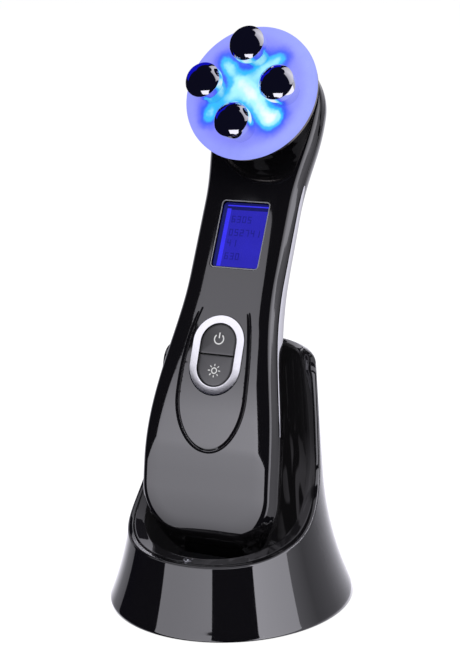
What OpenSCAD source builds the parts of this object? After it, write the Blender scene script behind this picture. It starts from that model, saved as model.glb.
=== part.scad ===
// Facial toning device: a handset with a lit head and four electrodes, leaning in its charging stand.
// Stand frame: +Z up, front towards -Y, origin on the table under the middle of the stand.
// Handset frame: +Z along the neck, face towards -Y, origin on the face where the straight neck starts.

/* [Handset housing] */
// Angle between the neck and the vertical while the handset is in the stand
lean = 30.5; // [29:0.5:32]
// Length of the face below the start of the straight neck
grip_len = 76; // [73:0.5:79]
// Distance from the start of the straight neck to the middle of the head
neck_len = 77.8; // [76:0.2:84]
// Radius of the long bend down the face of the grip
bend_r = 164; // [150:2:200]
// Width of the face across the grip, at its widest
grip_w = 49.3; // [47.3:0.5:50.8]
// Width of the face across the neck, at its narrowest
neck_w = 33.7; // [32.5:0.2:36]
// Radius of the round top end of the face
head_r = 20.2; // [20:0.1:22]
// Corner radius at the foot of the face
foot_corner_r = 16; // [12:1:18]
// Thickness of the housing across the grip
grip_t = 31; // [29:0.5:33]
// Thickness of the housing across the neck and head
neck_t = 22.5; // [21.5:0.5:25]
// Thickness of the housing at its foot
foot_t = 27; // [26:0.5:29]
// How far the rear shell reaches below the face at the foot
chin = 5; // [3:0.5:7]
// Depth of the parting line behind the face
part_depth = 4.6; // [4.2:0.1:5.2]
// How far the sides stand out past the rounded edge of the face
side_bulge = 1.5; // [1:0.1:2]
// Radius of the rounded edge of the face
edge_r = 2.5; // [2:0.1:3]
// Wall of both housing shells
case_wall = 2; // [1.6:0.1:2.2]

/* [Side strips] */
// Distance from the top tip of the metal side strips up to the middle of the head
strip_top_gap = 27.3; // [24:0.5:34]
// Distance from the bottom tip of the strips down to the lower end of the face
strip_low_gap = 37.2; // [32:0.5:42]
// Width of the strips at the middle
strip_w = 6; // [4:0.2:7]
// Thickness of the strips
strip_t = 1.2; // [0.8:0.1:1.4]

/* [Display] */
// Width of the display window
window_w = 18.9; // [16:0.1:21]
// Height of the display window
window_h = 25.2; // [20:0.2:27]
// Middle of the window above the start of the neck
window_z = 29.7; // [28:0.1:32]
// Thickness of the clear window
window_t = 1.2; // [0.8:0.1:1.4]

/* [Buttons] */
// Width of the bright ring round the buttons
ring_w = 19.6; // [18:0.2:21]
// Height of the bright ring
ring_h = 28.3; // [26:0.1:30]
// Width of the ring's band
ring_band = 2.9; // [2.4:0.1:3.2]
// Middle of the ring below the start of the neck
ring_z = 14.2; // [13:0.1:16]
// Travel of each button
button_travel = 0.6; // [0.3:0.1:0.8]
// Half width of the egg-shaped groove round the buttons
groove_half_w = 13.8; // [13:0.1:15]
// Width of the groove
groove_w = 1.6; // [1:0.1:2]
// Depth of the groove
groove_depth = 0.5; // [0.3:0.1:0.8]

/* [Head] */
// Radius of the frosted lens
lens_r = 24.8; // [24.4:0.1:26]
// Thickness of the frosted lens
lens_t = 2.2; // [1.8:0.1:2.6]
// Height of the black collar between the face and the trim ring
collar_h = 9.4; // [8.6:0.1:11]
// Height of the metal trim ring
trim_h = 2.8; // [2.2:0.1:3.4]
// Radius of each electrode
electrode_r = 6.5; // [6:0.1:7]
// Radius of curvature of the electrodes' domes
dome_r = 7.3; // [7.1:0.1:9]
// Distance of the electrodes from the middle of the head
electrode_out = 14.1; // [13.6:0.1:14.8]
// Height of the edge of each dome above the lens
electrode_h = 9.9; // [8:0.1:11]

/* [Stand] */
// Radius of the skirt at the table
base_r = 44; // [42:0.5:48]
// Height of the back wall
stand_h = 89; // [86:1:93]
// Radius of the outside where the skirt starts to flare
waist_r = 34.3; // [34:0.1:36]
// Height at which the skirt starts to flare
waist_z = 45; // [42:1:48]
// Radius of the flare
flare_r = 125; // [115:5:140]
// Radius of the outside at the top of the back wall
top_r = 32.6; // [32.2:0.1:34]
// Rounding along the top of the back wall
top_edge_r = 3.5; // [3:0.5:6]
// Rounding inside the top of the back wall, where the handset leans
cup_edge_r = 3; // [2:0.5:3.5]
// Height of the rim at the front
rim_z = 24.8; // [23:0.2:27]
// Radius of the cup at the height of the rim
cup_r = 29.6; // [29:0.1:30.4]
// Radius of the cup at the top of the back wall
cup_top_r = 27.15; // [26.9:0.05:27.5]
// Height of the cup floor
cup_floor_z = 8; // [7.6:0.2:9]
// Width of the bare edge round the rubber foot pad
pad_margin = 9; // [7:0.5:14]
// Wall of the outer shell
skin_t = 2; // [1.6:0.1:2.2]
// Wall of the cup
liner_t = 1.6; // [1.2:0.1:1.8]

/* [Charging contacts] */
// Height of the middle of the contact seat
seat_z = 16.6; // [15.6:0.1:17.6]
// Spacing of the two contact pins
pin_pitch = 12; // [9:0.5:14]
// Radius of the contact pins
pin_r = 1.1; // [0.8:0.05:1.3]
// Travel of the contact pins
pin_travel = 1.2; // [0.6:0.1:1.5]
// Radius of the charge light
light_r = 1.2; // [1:0.1:1.5]

/* [Hidden] */

// clearances
fit_gap = 0.06;          // running fit of a pin in its bore
case_gap = 0.15;         // between pieces that are fixed in the same body
rest_gap = 0.3;          // between the handset and the back wall it leans on
seat_gap = 0.1;          // between the handset's foot and its seat
big = 200;
round_fn = 96;

// ---------- shape of the handset ----------
grip_mid = 52;           // where the grip is widest, below the start of the neck
waist_at = 15;           // where the neck becomes narrowest
flare_from = neck_len - 35.8;
fat_from = 12;           // the grip is thickest below this
thin_from = 26;          // and thins out up to here
belly_end = 30;          // thickness falls again below this, towards the foot
max_depth = 5;           // depth behind the face at which the sides are widest
rear_power = 1.75;       // roundness of the back: 2 is an ellipse
foot_power = 6;          // squareness of the foot, seen from the side
spine_low = 50;          // lower end of the crown line along the back
foot_z = -(grip_len + chin);

function ease(t) = t <= 0 ? 0 : t >= 1 ? 1 : (1 - cos(180 * t)) / 2;
function blend(z, z0, z1, a, b) = a + (b - a) * ease((z - z0) / (z1 - z0));
function face_y(z) = z < 0 ? bend_r - sqrt(bend_r * bend_r - z * z) : 0;
function half_w(z) = z < flare_from
    ? blend(z, -grip_mid, waist_at, grip_w / 2, neck_w / 2)
    : blend(z, flare_from, neck_len, neck_w / 2, head_r);
function thick(z) = z < -belly_end
    ? blend(z, -grip_len, -belly_end, foot_t, grip_t)
    : blend(z, -fat_from, thin_from, grip_t, neck_t);

// ---------- place of the handset in the stand ----------
// point of the back that touches the inner edge of the back wall, found by stepping to that height
touch_z = stand_h - cup_edge_r;
function back_y(z) = face_y(z) + thick(z);
function climb(z, n) = n == 0 ? z : climb((touch_z - hand_z + back_y(z) * sin(lean)) / cos(lean), n - 1);
seat_y_local = face_y(-grip_len) + foot_t / 2 + 1;
hand_z = seat_z + seat_y_local * sin(lean) - foot_z * cos(lean);
touch_at = climb(0, 8);
hand_y = cup_top_r - rest_gap - back_y(touch_at) * cos(lean) - touch_at * sin(lean);
seat_y = hand_y + seat_y_local * cos(lean) + foot_z * sin(lean);

module in_stand() {
    translate([0, hand_y, hand_z]) rotate([-lean, 0, 0]) children();
}

// prism of a 2D outline in X and Z, from y_front back to y_back
module prism(y_front, y_back) {
    translate([0, y_back, 0]) rotate([90, 0, 0]) linear_extrude(y_back - y_front) children();
}

// head axis: Z points out of the lens, and Z = 0 is the face
module on_head() {
    translate([0, 0, neck_len]) rotate([90, 0, 0]) children();
}

// button frame: the face is level at the middle of the ring
ring_tilt = asin(ring_z / bend_r);
module on_buttons() {
    translate([0, face_y(-ring_z), -ring_z]) rotate([ring_tilt, 0, 0]) children();
}

module x_cylinder(r) {
    translate([0, bend_r, 0]) rotate([0, 90, 0]) cylinder(r = r, h = big, center = true, $fn = 256);
}

module stadium(w, h) {
    square([w, h - w], center = true);
    for (side = [-1, 1]) translate([0, side * (h - w) / 2]) circle(d = w, $fn = round_fn);
}

module rounded_rect(w, h, r) {
    square([w - 2 * r, h], center = true);
    square([w, h - 2 * r], center = true);
    for (x = [-1, 1], y = [-1, 1]) {
        translate([x * (w / 2 - r), y * (h / 2 - r)]) circle(r = r, $fn = 48);
    }
}

// ---------- lofted surfaces of the housing ----------
corner_steps = 6;
side_steps = 15;
head_steps = 9;
head_end = 85;           // the two last points of the outline nearly meet over the head

right_side = concat(
    [for (i = [0:corner_steps]) let (a = 90 * i / corner_steps,
        z = -grip_len + foot_corner_r * (1 - cos(a)))
        [half_w(z) - foot_corner_r * (1 - sin(a)), z]],
    [for (i = [1:side_steps]) let (z0 = -grip_len + foot_corner_r,
        z = z0 + (neck_len - z0) * i / side_steps) [half_w(z), z]],
    [for (i = [1:head_steps]) let (a = head_end * i / head_steps)
        [head_r * cos(a), neck_len + head_r * sin(a)]]
);
half_count = len(right_side);
outline = concat(right_side, [for (i = [half_count - 1:-1:0]) [-right_side[i].x, right_side[i].y]]);
count = len(outline);
function unit(v) = v / norm(v);
outward = [for (i = [0:count - 1]) let (d = outline[(i + 1) % count] - outline[(i + count - 1) % count])
    unit([d.y, -d.x])];

// the bulge of the sides dies out over the end of the head
bulge_from = 62;
bulge_to = 92;
bulge_left = 0.4;        // what is left of it there
function tucked(off, z) = off < bulge_left ? off : blend(z, bulge_from, bulge_to, off, bulge_left);

// ring of the outline moved outwards by off less the wall, at a depth behind the face
function face_ring(off, depth, wall = 0) = [for (i = [0:count - 1]) let (
    p = outline[i] + (tucked(off, outline[i].y) - wall) * outward[i])
    [p.x, face_y(p.y) + depth, p.y]];

// ring of the back, at angle a from the widest ring (0) to the crown (90)
function back_ring(off, a, wall) = [for (i = [0:count - 1]) let (
    p = outline[i] + (tucked(side_bulge, outline[i].y) + off - side_bulge) * outward[i],
    g = pow(sin(a), 2 / rear_power),
    k = pow(cos(a), 2 / rear_power),
    low = max(0, (-spine_low - p.y) / (grip_len + off - spine_low)),
    drop = (chin - side_bulge) * low * low * (1 - pow(1 - min(1, g * 4), 2)),
    kz = pow(1 - pow(g, foot_power), 1 / foot_power),
    z = p.y > neck_len ? neck_len + (p.y - neck_len) * k
        : p.y < -spine_low ? -spine_low + (p.y - drop + spine_low) * kz
        : p.y)
    [p.x * k, face_y(z) + max_depth + (thick(z) - wall - max_depth) * g, z]];

// closed skin over a list of rings, ended at both ends by strips from side to side
module skin(rings, flip) {
    last = len(rings) - 1;
    points = [for (r = rings) each r];
    walls = [for (k = [0:last - 1], i = [0:count - 1]) let (j = (i + 1) % count,
        a = k * count + i, b = (k + 1) * count + i, c = (k + 1) * count + j, d = k * count + j)
        each [[a, b, c], [a, c, d]]];
    front_cap = [for (i = [0:half_count - 2]) let (s = last * count,
        a = s + i, b = s + count - 1 - i, c = s + count - 2 - i, d = s + i + 1)
        each [[a, b, c], [a, c, d]]];
    back_cap = [for (i = [0:half_count - 2]) let (
        a = i, b = i + 1, c = count - 2 - i, d = count - 1 - i)
        each [[a, b, c], [a, c, d]]];
    faces = concat(walls, front_cap, back_cap);
    polyhedron(points, flip ? [for (f = faces) [f[2], f[1], f[0]]] : faces, convexity = 6);
}

edge_angles = [70, 46, 23, 0];
edge_off = 0.4 - edge_r * sin(edge_angles[0]);
part_off = side_bulge - 0.1;

module front_solid() {
    skin(concat(
        [face_ring(edge_off - 1.4, case_wall)],
        [face_ring(edge_off + 0.5, case_wall + 0.7)],
        [face_ring(part_off, part_depth, case_wall)],
        [face_ring(part_off, part_depth)],
        [for (a = edge_angles) face_ring(edge_off + edge_r * sin(a), edge_r * (1 - cos(a)))]
    ), false);
}

back_angles = [0, 12, 24, 36, 48, 60, 72, 84];
module rear_solid() {
    skin(concat(
        [for (i = [len(back_angles) - 1:-1:0]) back_ring(side_bulge - case_wall, back_angles[i], case_wall)],
        [face_ring(part_off, part_depth, case_wall)],
        [face_ring(part_off, part_depth)],
        [for (a = back_angles) back_ring(side_bulge, a, 0)]
    ), true);
}

// ---------- metal side strips ----------
strip_steps = 16;
strip_top = neck_len - strip_top_gap;
strip_bottom = grip_len - strip_low_gap;
// width of the strip behind the parting line, at fraction t from the bottom tip to the top tip
function strip_depth(t) = strip_w * pow(sin(180 * t), 0.8);
function side_x(z, depth) = (half_w(z) + side_bulge)
    * pow(1 - pow(max(0, (depth - max_depth) / (thick(z) - max_depth)), rear_power), 1 / rear_power);

module side_strip_solid(side, grow, proud) {
    cols = 4;
    rings = [for (i = [0:strip_steps]) let (
        t = i / strip_steps,
        z = -strip_bottom - grow + (strip_top + strip_bottom + 2 * grow) * t,
        d0 = part_depth + case_gap - 2 * grow,
        w = strip_depth(t) + 0.5 + 3 * grow)
        concat(
            [for (c = [0:cols]) let (d = d0 + w * c / cols)
                [side * (side_x(z, d) + proud), face_y(z) + d, z]],
            [for (c = [cols:-1:0]) let (d = d0 + w * c / cols)
                [side * (side_x(z, d) - strip_t - grow), face_y(z) + d, z]])];
    n = 2 * (cols + 1);
    points = [for (r = rings) each r];
    walls = [for (k = [0:strip_steps - 1], i = [0:n - 1]) let (j = (i + 1) % n,
        a = k * n + i, b = (k + 1) * n + i, c = (k + 1) * n + j, d = k * n + j)
        each [[a, b, c], [a, c, d]]];
    ends = [for (k = [0, strip_steps], i = [0:cols - 1]) let (
        a = k * n + i, b = k * n + i + 1, c = k * n + n - 2 - i, d = k * n + n - 1 - i)
        each k == 0 ? [[a, b, c], [a, c, d]] : [[c, b, a], [d, c, a]]];
    faces = concat(walls, ends);
    polyhedron(points, side > 0 ? faces : [for (f = faces) [f[2], f[1], f[0]]], convexity = 4);
}

// ---------- housing screws ----------
screw_r = 1;
screw_head_r = 2.3;
screw_head_h = 1.5;
screw_bite = 7;          // length of thread in the boss
screw_grip = 2;          // thickness of the standoff under the head
drive_w = 2.6;           // cross slots in the screw heads
drive_t = 0.6;
boss_r = 2.7;
boss_end = 10;           // depth behind the face where boss and standoff meet
standoff_r = 3.9;
upper_screw = [10.2, 18];    // from the mid plane, and down from the middle of the head
lower_screw = [11, 26];      // from the mid plane, and up from the lower end of the face
screw_places = [for (s = [-1, 1], p = [[upper_screw.x, neck_len - upper_screw.y],
    [lower_screw.x, lower_screw.y - grip_len]]) [s * p.x, p.y]];

module at_screws() {
    for (p = screw_places) translate([p.x, face_y(p.y), p.y]) rotate([-90, 0, 0]) children();
}

module front_shell() {
    color("#141416") in_stand() difference() {
        union() {
            front_solid();
            at_screws() translate([0, 0, case_wall - 0.5]) cylinder(r = boss_r, h = boss_end - case_wall + 0.5, $fn = 48);
        }
        at_screws() translate([0, 0, boss_end - screw_bite - 1]) cylinder(r = screw_r + fit_gap, h = boss_end, $fn = 32);
        // window with its ledge
        translate([0, 0, window_z]) prism(-1, window_t + 0.2)
            rounded_rect(window_w + 2 * case_gap, window_h + 2 * case_gap, 1.6);
        translate([0, 0, window_z]) prism(-1, big)
            rounded_rect(window_w - 2, window_h - 2, 1);
        // opening for the button ring
        on_buttons() prism(-3, 4.4) stadium(ring_w + 2 * case_gap, ring_h + 2 * case_gap);
        // opening under the head
        on_head() translate([0, 0, -4]) cylinder(r = head_bore_r, h = 8, $fn = round_fn);
        on_head() at_collar_screws() translate([0, 0, -4]) cylinder(r = collar_screw_r + fit_gap, h = 8, $fn = 24);
        groove_cut();
    }
}

// egg-shaped outline of the groove, open at the top
groove_mid = 28.5;       // below the start of the neck, where the groove is widest
groove_low = 20;
groove_high = 46;
groove_top = 3;
function egg(a) = [for (i = [0:39]) let (t = 360 * i / 40)
    [a * cos(t), -groove_mid + (sin(t) > 0 ? groove_high : groove_low) * sin(t) * a / groove_half_w]];

module groove_cut() {
    intersection() {
        prism(-2, 8) difference() {
            polygon(egg(groove_half_w));
            polygon(egg(groove_half_w - groove_w));
            translate([-big / 2, groove_top]) square([big, big]);
        }
        difference() {
            x_cylinder(bend_r + 2);
            x_cylinder(bend_r - groove_depth);
        }
    }
}

module rear_shell() {
    color("#141416") in_stand() difference() {
        union() {
            rear_solid();
            intersection() {
                rear_solid_full();
                at_screws() translate([0, 0, boss_end]) cylinder(r = standoff_r, h = big, $fn = 48);
            }
        }
        for (side = [-1, 1]) side_strip_solid(side, case_gap, 3);
        at_screws() cylinder(r = screw_r + 0.2, h = boss_end + screw_grip + 1, $fn = 32);
        at_screws() translate([0, 0, boss_end + screw_grip]) cylinder(r = screw_head_r + 0.3, h = big, $fn = 48);
        for (x = [-1, 1]) translate([x * pin_pitch / 2, seat_y_local, foot_z - 1]) {
            cylinder(r = pad_r + case_gap, h = 1 + pad_t + pad_recess, $fn = 48);
        }
    }
}

// the rear shell without its hollow, to trim the standoffs to the outside
module rear_solid_full() {
    skin(concat(
        [face_ring(part_off, part_depth)],
        [for (a = back_angles) back_ring(side_bulge, a, 0)]
    ), true);
}

module side_strip(side) {
    color("#e8e8ee") in_stand() side_strip_solid(side, 0, 0.15);
}

module case_screws() {
    color("#8a8a90") in_stand() at_screws() {
        translate([0, 0, boss_end - screw_bite]) cylinder(r = screw_r, h = screw_bite + screw_grip, $fn = 32);
        difference() {
            translate([0, 0, boss_end + screw_grip]) cylinder(r = screw_head_r, h = screw_head_h, $fn = 32);
            for (a = [0, 90]) translate([0, 0, boss_end + screw_grip + screw_head_h]) rotate([0, 0, a])
                cube([drive_w, drive_t, screw_head_h], center = true);
        }
    }
}

// ---------- display ----------
panel_t = 1.8;
backlight_t = 3;
board_y = 11.6;          // front of the main board behind the face of the neck

module lcd_window() {
    color("#9fb0ff", 0.4) in_stand() translate([0, 0, window_z])
        prism(0.2, 0.2 + window_t) rounded_rect(window_w, window_h, 1.5);
}

module lcd_panel() {
    color("#2a2ac8") in_stand() translate([0, 0, window_z])
        prism(case_wall + 0.3, case_wall + 0.3 + panel_t) rounded_rect(window_w + 1, window_h + 2, 0.8);
}

module lcd_backlight() {
    color("#dfe6ff") in_stand() translate([0, 0, window_z])
        prism(case_wall + 0.3 + panel_t, case_wall + 0.3 + panel_t + backlight_t)
            rounded_rect(window_w + 1, window_h + 2, 0.8);
}

module lcd_holder() {
    front = case_wall + 0.3 + panel_t + backlight_t;
    color("#e8e8e8") in_stand() translate([0, 0, window_z]) prism(front, board_y) difference() {
        rounded_rect(window_w + 1, window_h + 2, 0.8);
        rounded_rect(window_w - 3, window_h - 2, 0.8);
    }
}

// ---------- buttons ----------
ring_proud = 0.35;
button_proud = 0.1;
button_gap = 0.25;
ring_back = 3.8;         // back of the ring's flange
ring_flange = 1;
button_back = 4.8;
stem_r = 1.2;
stem_l = 3.2;
switch_front = button_back + button_travel + 1.2;
switch_t = 2.1;
key_board_y = switch_front + switch_t;

module button_ring() {
    inner_w = ring_w - 2 * ring_band;
    inner_h = ring_h - 2 * ring_band;
    color("#f4f4f6") in_stand() on_buttons() difference() {
        union() {
            under_face(ring_proud) prism(-2, ring_back) stadium(ring_w, ring_h);
            prism(ring_back - 0.9, ring_back) stadium(ring_w + 2 * ring_flange, ring_h + 2 * ring_flange);
        }
        prism(-3, ring_back + 1) stadium(inner_w, inner_h);
    }
}

// keeps what lies behind the bent face, moved forward by proud
module under_face(proud) {
    intersection() {
        children();
        translate([0, bend_r, 0]) rotate([0, 90, 0])
            cylinder(r = bend_r + proud, h = big, center = true, $fn = 256);
    }
}

// half of the stadium above (+1) or below (-1) the split between the two buttons
module half_button(side, grow) {
    inner_w = ring_w - 2 * ring_band;
    inner_h = ring_h - 2 * ring_band;
    intersection() {
        stadium(inner_w - 2 * button_gap + 2 * grow, inner_h - 2 * button_gap + 2 * grow);
        translate([-big / 2, side > 0 ? button_gap : -big - button_gap]) square([big, big]);
    }
}

button_mid = 5.4;        // each button's stem sits this far from the split
module button(side) {
    in_stand() on_buttons() {
        under_face(button_proud) prism(-2, ring_back + 0.1) half_button(side, 0);
        prism(ring_back + 0.05, button_back) half_button(side, 0.9);
    }
}

module power_button() {
    color("#3a3a40") button(1);
}

module select_button() {
    color("#3a3a40") button(-1);
}

module stem(side) {
    color("#d8d0c0") in_stand() on_buttons() translate([0, button_back, side * button_mid]) rotate([-90, 0, 0])
        cylinder(r = stem_r, h = stem_l, $fn = 32);
}

module switch_bodies() {
    color("#3c3c40") in_stand() on_buttons() for (side = [-1, 1]) translate([0, 0, side * button_mid]) difference() {
        prism(switch_front, key_board_y) square([6, 6], center = true);
        translate([0, button_back, 0]) rotate([-90, 0, 0])
            cylinder(r = stem_r + fit_gap, h = stem_l + button_travel, $fn = 32);
    }
}

module key_board() {
    color("#1f5a36") in_stand() on_buttons() prism(key_board_y, key_board_y + 1)
        rounded_rect(ring_w - 1, ring_h - 3, 2);
}

// ---------- boards and battery ----------
board_w = 24;
board_top = 46;
board_low = 44;
board_t = 1.6;
board_corner = 2;
module main_board() {
    color("#1f5a36") in_stand() translate([0, 0, (board_top - board_low) / 2])
        prism(board_y, board_y + board_t) rounded_rect(board_w, board_top + board_low, board_corner);
}

battery_w = 22;
battery_l = 42;
battery_t = 6;
battery_z = -25;
battery_corner = 2.5;
module battery() {
    color("#b8bcc4") in_stand() translate([0, 0, battery_z])
        prism(board_y + board_t + 0.2, board_y + board_t + 0.2 + battery_t)
            rounded_rect(battery_w, battery_l, battery_corner);
}

// ---------- contacts in the foot ----------
pad_r = 2.4;
pad_t = 1;
pad_recess = 0.2;
module charge_contacts() {
    color("#d9b65a") in_stand() for (x = [-1, 1]) {
        translate([x * pin_pitch / 2, seat_y_local, foot_z + pad_recess]) cylinder(r = pad_r, h = pad_t, $fn = 48);
    }
}

// ---------- head ----------
collar_screw_r = 0.75;
collar_screw_out = head_r - 4.6;
head_bore_r = collar_screw_out - 1.4;
nut_room_r = electrode_out + 2.9;
led_seat = 5;            // height of the ledge that carries the lamp board
led_board_r = 19.2;
led_board_t = 1.2;
stem_hole_r = 1.6;
lens_back = collar_h + trim_h;

module at_electrodes(which) {
    for (i = which) rotate([0, 0, 90 * i]) translate([electrode_out, 0, 0]) children();
}

module at_collar_screws() {
    for (a = [45:90:315]) rotate([0, 0, a]) translate([collar_screw_out, 0, 0]) children();
}

module head_collar() {
    color("#17171a") in_stand() on_head() difference() {
        rotate_extrude($fn = round_fn) polygon([
            [head_bore_r, 0], [head_r - 2, 0], [head_r - 1.2, 2.5], [head_r + 0.1, 5], [head_r + 1.2, 7.2],
            [lens_r - 2, collar_h], [lens_r - 3.8, collar_h], [led_board_r + case_gap, led_seat + 2.6],
            [led_board_r + case_gap, led_seat], [nut_room_r, led_seat], [nut_room_r, 2.5],
            [head_bore_r, 2.5]]);
        at_collar_screws() translate([0, 0, -1]) cylinder(r = collar_screw_r + fit_gap, h = 3.2, $fn = 24);
    }
}

module collar_screws() {
    color("#8a8a90") in_stand() on_head() at_collar_screws() {
        translate([0, 0, -case_wall]) cylinder(r = collar_screw_r, h = case_wall + 2, $fn = 24);
        translate([0, 0, -case_wall - 0.9]) cylinder(r = 1.15, h = 0.9, $fn = 24);
    }
}

module trim_ring() {
    r = lens_r - 0.5;
    color("#5d5650") in_stand() on_head() rotate_extrude($fn = round_fn)
        polygon([[lens_r - 3.8, collar_h], [r - 0.8, collar_h], [r, collar_h + 0.8], [r, lens_back],
            [lens_r - 3.8, lens_back]]);
}

module head_lens() {
    r = 0.7;
    color("#8c90ff") in_stand() on_head() difference() {
        rotate_extrude($fn = round_fn) {
            translate([0, lens_back]) square([lens_r - r, lens_t]);
            translate([0, lens_back]) square([lens_r, lens_t - r]);
            translate([lens_r - r, lens_back + lens_t - r]) circle(r = r, $fn = 32);
        }
        at_electrodes([0:3]) translate([0, 0, lens_back - 1])
            cylinder(r = stem_hole_r + case_gap, h = lens_t + 2, $fn = 32);
    }
}

module led_board() {
    color("#e9efe9") in_stand() on_head() difference() {
        translate([0, 0, led_seat]) cylinder(r = led_board_r, h = led_board_t, $fn = round_fn);
        at_electrodes([0:3]) translate([0, 0, led_seat - 1]) cylinder(r = stem_hole_r + case_gap, h = 4, $fn = 32);
        translate([0, 0, led_seat - 1]) cylinder(r = 2, h = 4, $fn = 32);
    }
}

led_r = 1.5;
led_h = 2.4;
led_rows = [5, 12];      // radii of the two rings of lamps
led_places = [for (q = led_rows, a = [45:90:315]) [q * cos(a), q * sin(a)]];
module leds() {
    color("#bfe4ff") in_stand() on_head() for (p = led_places) translate([p.x, p.y, led_seat + led_board_t]) {
        cylinder(r = led_r, h = led_h, $fn = 24);
        translate([0, 0, led_h]) intersection() {
            sphere(r = led_r, $fn = 24);
            cylinder(r = 2 * led_r, h = 2 * led_r, $fn = 24);
        }
    }
}

// flat dome on a straight side over a narrower neck, with a stem through the lens and the lamp board
electrode_side = 3.1;    // height of the straight side
module electrode(i) {
    front = lens_back + lens_t;
    edge = front + electrode_h;
    mid = edge - sqrt(dome_r * dome_r - electrode_r * electrode_r);
    color("#d5d7dd") in_stand() on_head() at_electrodes([i]) {
        rotate_extrude($fn = 64) {
            polygon([[0, front], [electrode_r - 1.5, front], [electrode_r - 1.3, front + 1.5],
                [electrode_r - 0.9, edge - electrode_side - 1.4], [electrode_r, edge - electrode_side],
                [electrode_r, edge], [0, edge]]);
            intersection() {
                translate([0, mid]) circle(r = dome_r, $fn = 96);
                translate([0, edge - 0.01]) square([electrode_r, 2 * dome_r]);
            }
        }
        translate([0, 0, led_seat - 2.3]) cylinder(r = stem_hole_r, h = front - led_seat + 2.3, $fn = 32);
    }
}

module electrode_nuts() {
    color("#a9abb2") in_stand() on_head() at_electrodes([0:3]) difference() {
        translate([0, 0, led_seat - 1.6]) cylinder(r = 2.6, h = 1.6, $fn = 6);
        translate([0, 0, led_seat - 3]) cylinder(r = stem_hole_r + fit_gap, h = 4, $fn = 32);
    }
}

// ---------- stand ----------
foot_h = 0.4;            // rubber feet lift the skirt off the table
flare_tilt = atan((waist_r - top_r) / (stand_h - waist_z));
flare_x = waist_r + flare_r * cos(flare_tilt);
flare_z = waist_z + flare_r * sin(flare_tilt);
function skirt_r(z, inset) = min(base_r, flare_x - sqrt(pow(flare_r, 2) - pow(flare_z - z, 2))) - inset;

// right half of the stand's outline, moved inwards by inset
module stand_outline(inset) {
    difference() {
        translate([0, foot_h]) square([base_r - inset, waist_z - foot_h]);
        translate([flare_x, flare_z]) circle(r = flare_r + inset, $fn = 360);
    }
    difference() {
        polygon([[0, waist_z - 0.01], [waist_r - inset, waist_z - 0.01], [top_r - inset, stand_h], [0, stand_h]]);
        corner_web([top_r, stand_h], 180, -90 + flare_tilt, top_edge_r);
    }
}

// what a rounding of radius r takes off the corner at p, whose edges run off at angles a and b
module corner_web(p, a, b, r) {
    u = [cos(a), sin(a)];
    v = [cos(b), sin(b)];
    half = acos(u * v) / 2;
    reach = r / tan(half);
    centre = p + unit(u + v) * r / sin(half);
    difference() {
        polygon([p - unit(u + v) * 0.01, p + u * reach, p + v * reach]);
        translate(centre) circle(r = r, $fn = round_fn);
    }
}

// side outline of the rim, in Y and Z: level at the front, rising slope, steep wall edge
rim_level_y = -28;
rim_slope = 17;
rim_steep = 79.3;
rim_steep_y = 13.55;      // where the steep edge would meet the top
rim_bend_r = 32;
rim_top_r = 8;
function rim_corner() = let (
    m = tan(rim_slope), n = 1 / tan(rim_steep),
    y = (rim_steep_y + n * (rim_z - m * rim_level_y - stand_h)) / (1 - n * m))
    [y, rim_z + m * (y - rim_level_y)];

function arc(centre, r, from, to, steps) = [for (i = [0:steps]) let (a = from + (to - from) * i / steps)
    centre + r * [cos(a), sin(a)]];
// middle of a rounding of radius r in the corner at p, whose edges run off at angles a and b
function corner_mid(p, a, b, r) = let (u = [cos(a), sin(a)], v = [cos(b), sin(b)])
    p + unit(u + v) * r / sin(acos(u * v) / 2);

// the cut is lowered by drop to shape what lies under the rim
module rim_cut(drop) {
    bend_mid = corner_mid(rim_corner(), 180 + rim_slope, rim_steep, rim_bend_r);
    top_mid = corner_mid([rim_steep_y, stand_h], 180 + rim_steep, 0, rim_top_r);
    rotate([90, 0, 90]) linear_extrude(big, center = true) translate([0, -drop]) polygon(concat(
        [[-big, rim_z], [rim_level_y, rim_z]],
        arc(bend_mid, rim_bend_r, rim_slope - 90, rim_steep - 90, 10),
        arc(top_mid, rim_top_r, rim_steep + 90, 90, 8),
        [[top_mid.x, stand_h + 20], [-big, stand_h + 20]]));
}

module stand_shell() {
    color("#151518") difference() {
        rotate_extrude($fn = 180) difference() {
            stand_outline(0);
            stand_outline(skin_t);
        }
        rim_cut(0);
        translate([0, 0, jack_z]) rotate([-90, 0, 0]) cylinder(r = jack_hole_r, h = big, $fn = 48);
    }
}

// radius of the cup at height z
function cup_at(z) = cup_r + (cup_top_r - cup_r) * (z - rim_z) / (stand_h - rim_z);
cup_corner_r = 7;
seam = 0.1;              // gap between the shell and the liner

module cup_outline(grow, floor_z) {
    r = cup_at(floor_z) + grow;
    difference() {
        polygon([[0, floor_z], [r, floor_z], [cup_at(stand_h + 5) + grow, stand_h + 5], [0, stand_h + 5]]);
        corner_web([r, floor_z], 180, 90.6, cup_corner_r + grow);
    }
    translate([0, stand_h - 0.01]) square([cup_top_r + cup_edge_r, 5]);
    corner_web([cup_top_r, stand_h], -90, 0, cup_edge_r);
}

post_r = 3.2;
post_out = 21;
post_angles = [-25, 25, 155, 205];
module at_posts() {
    for (a = post_angles) rotate([0, 0, a]) translate([post_out, 0, 0]) children();
}

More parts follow.
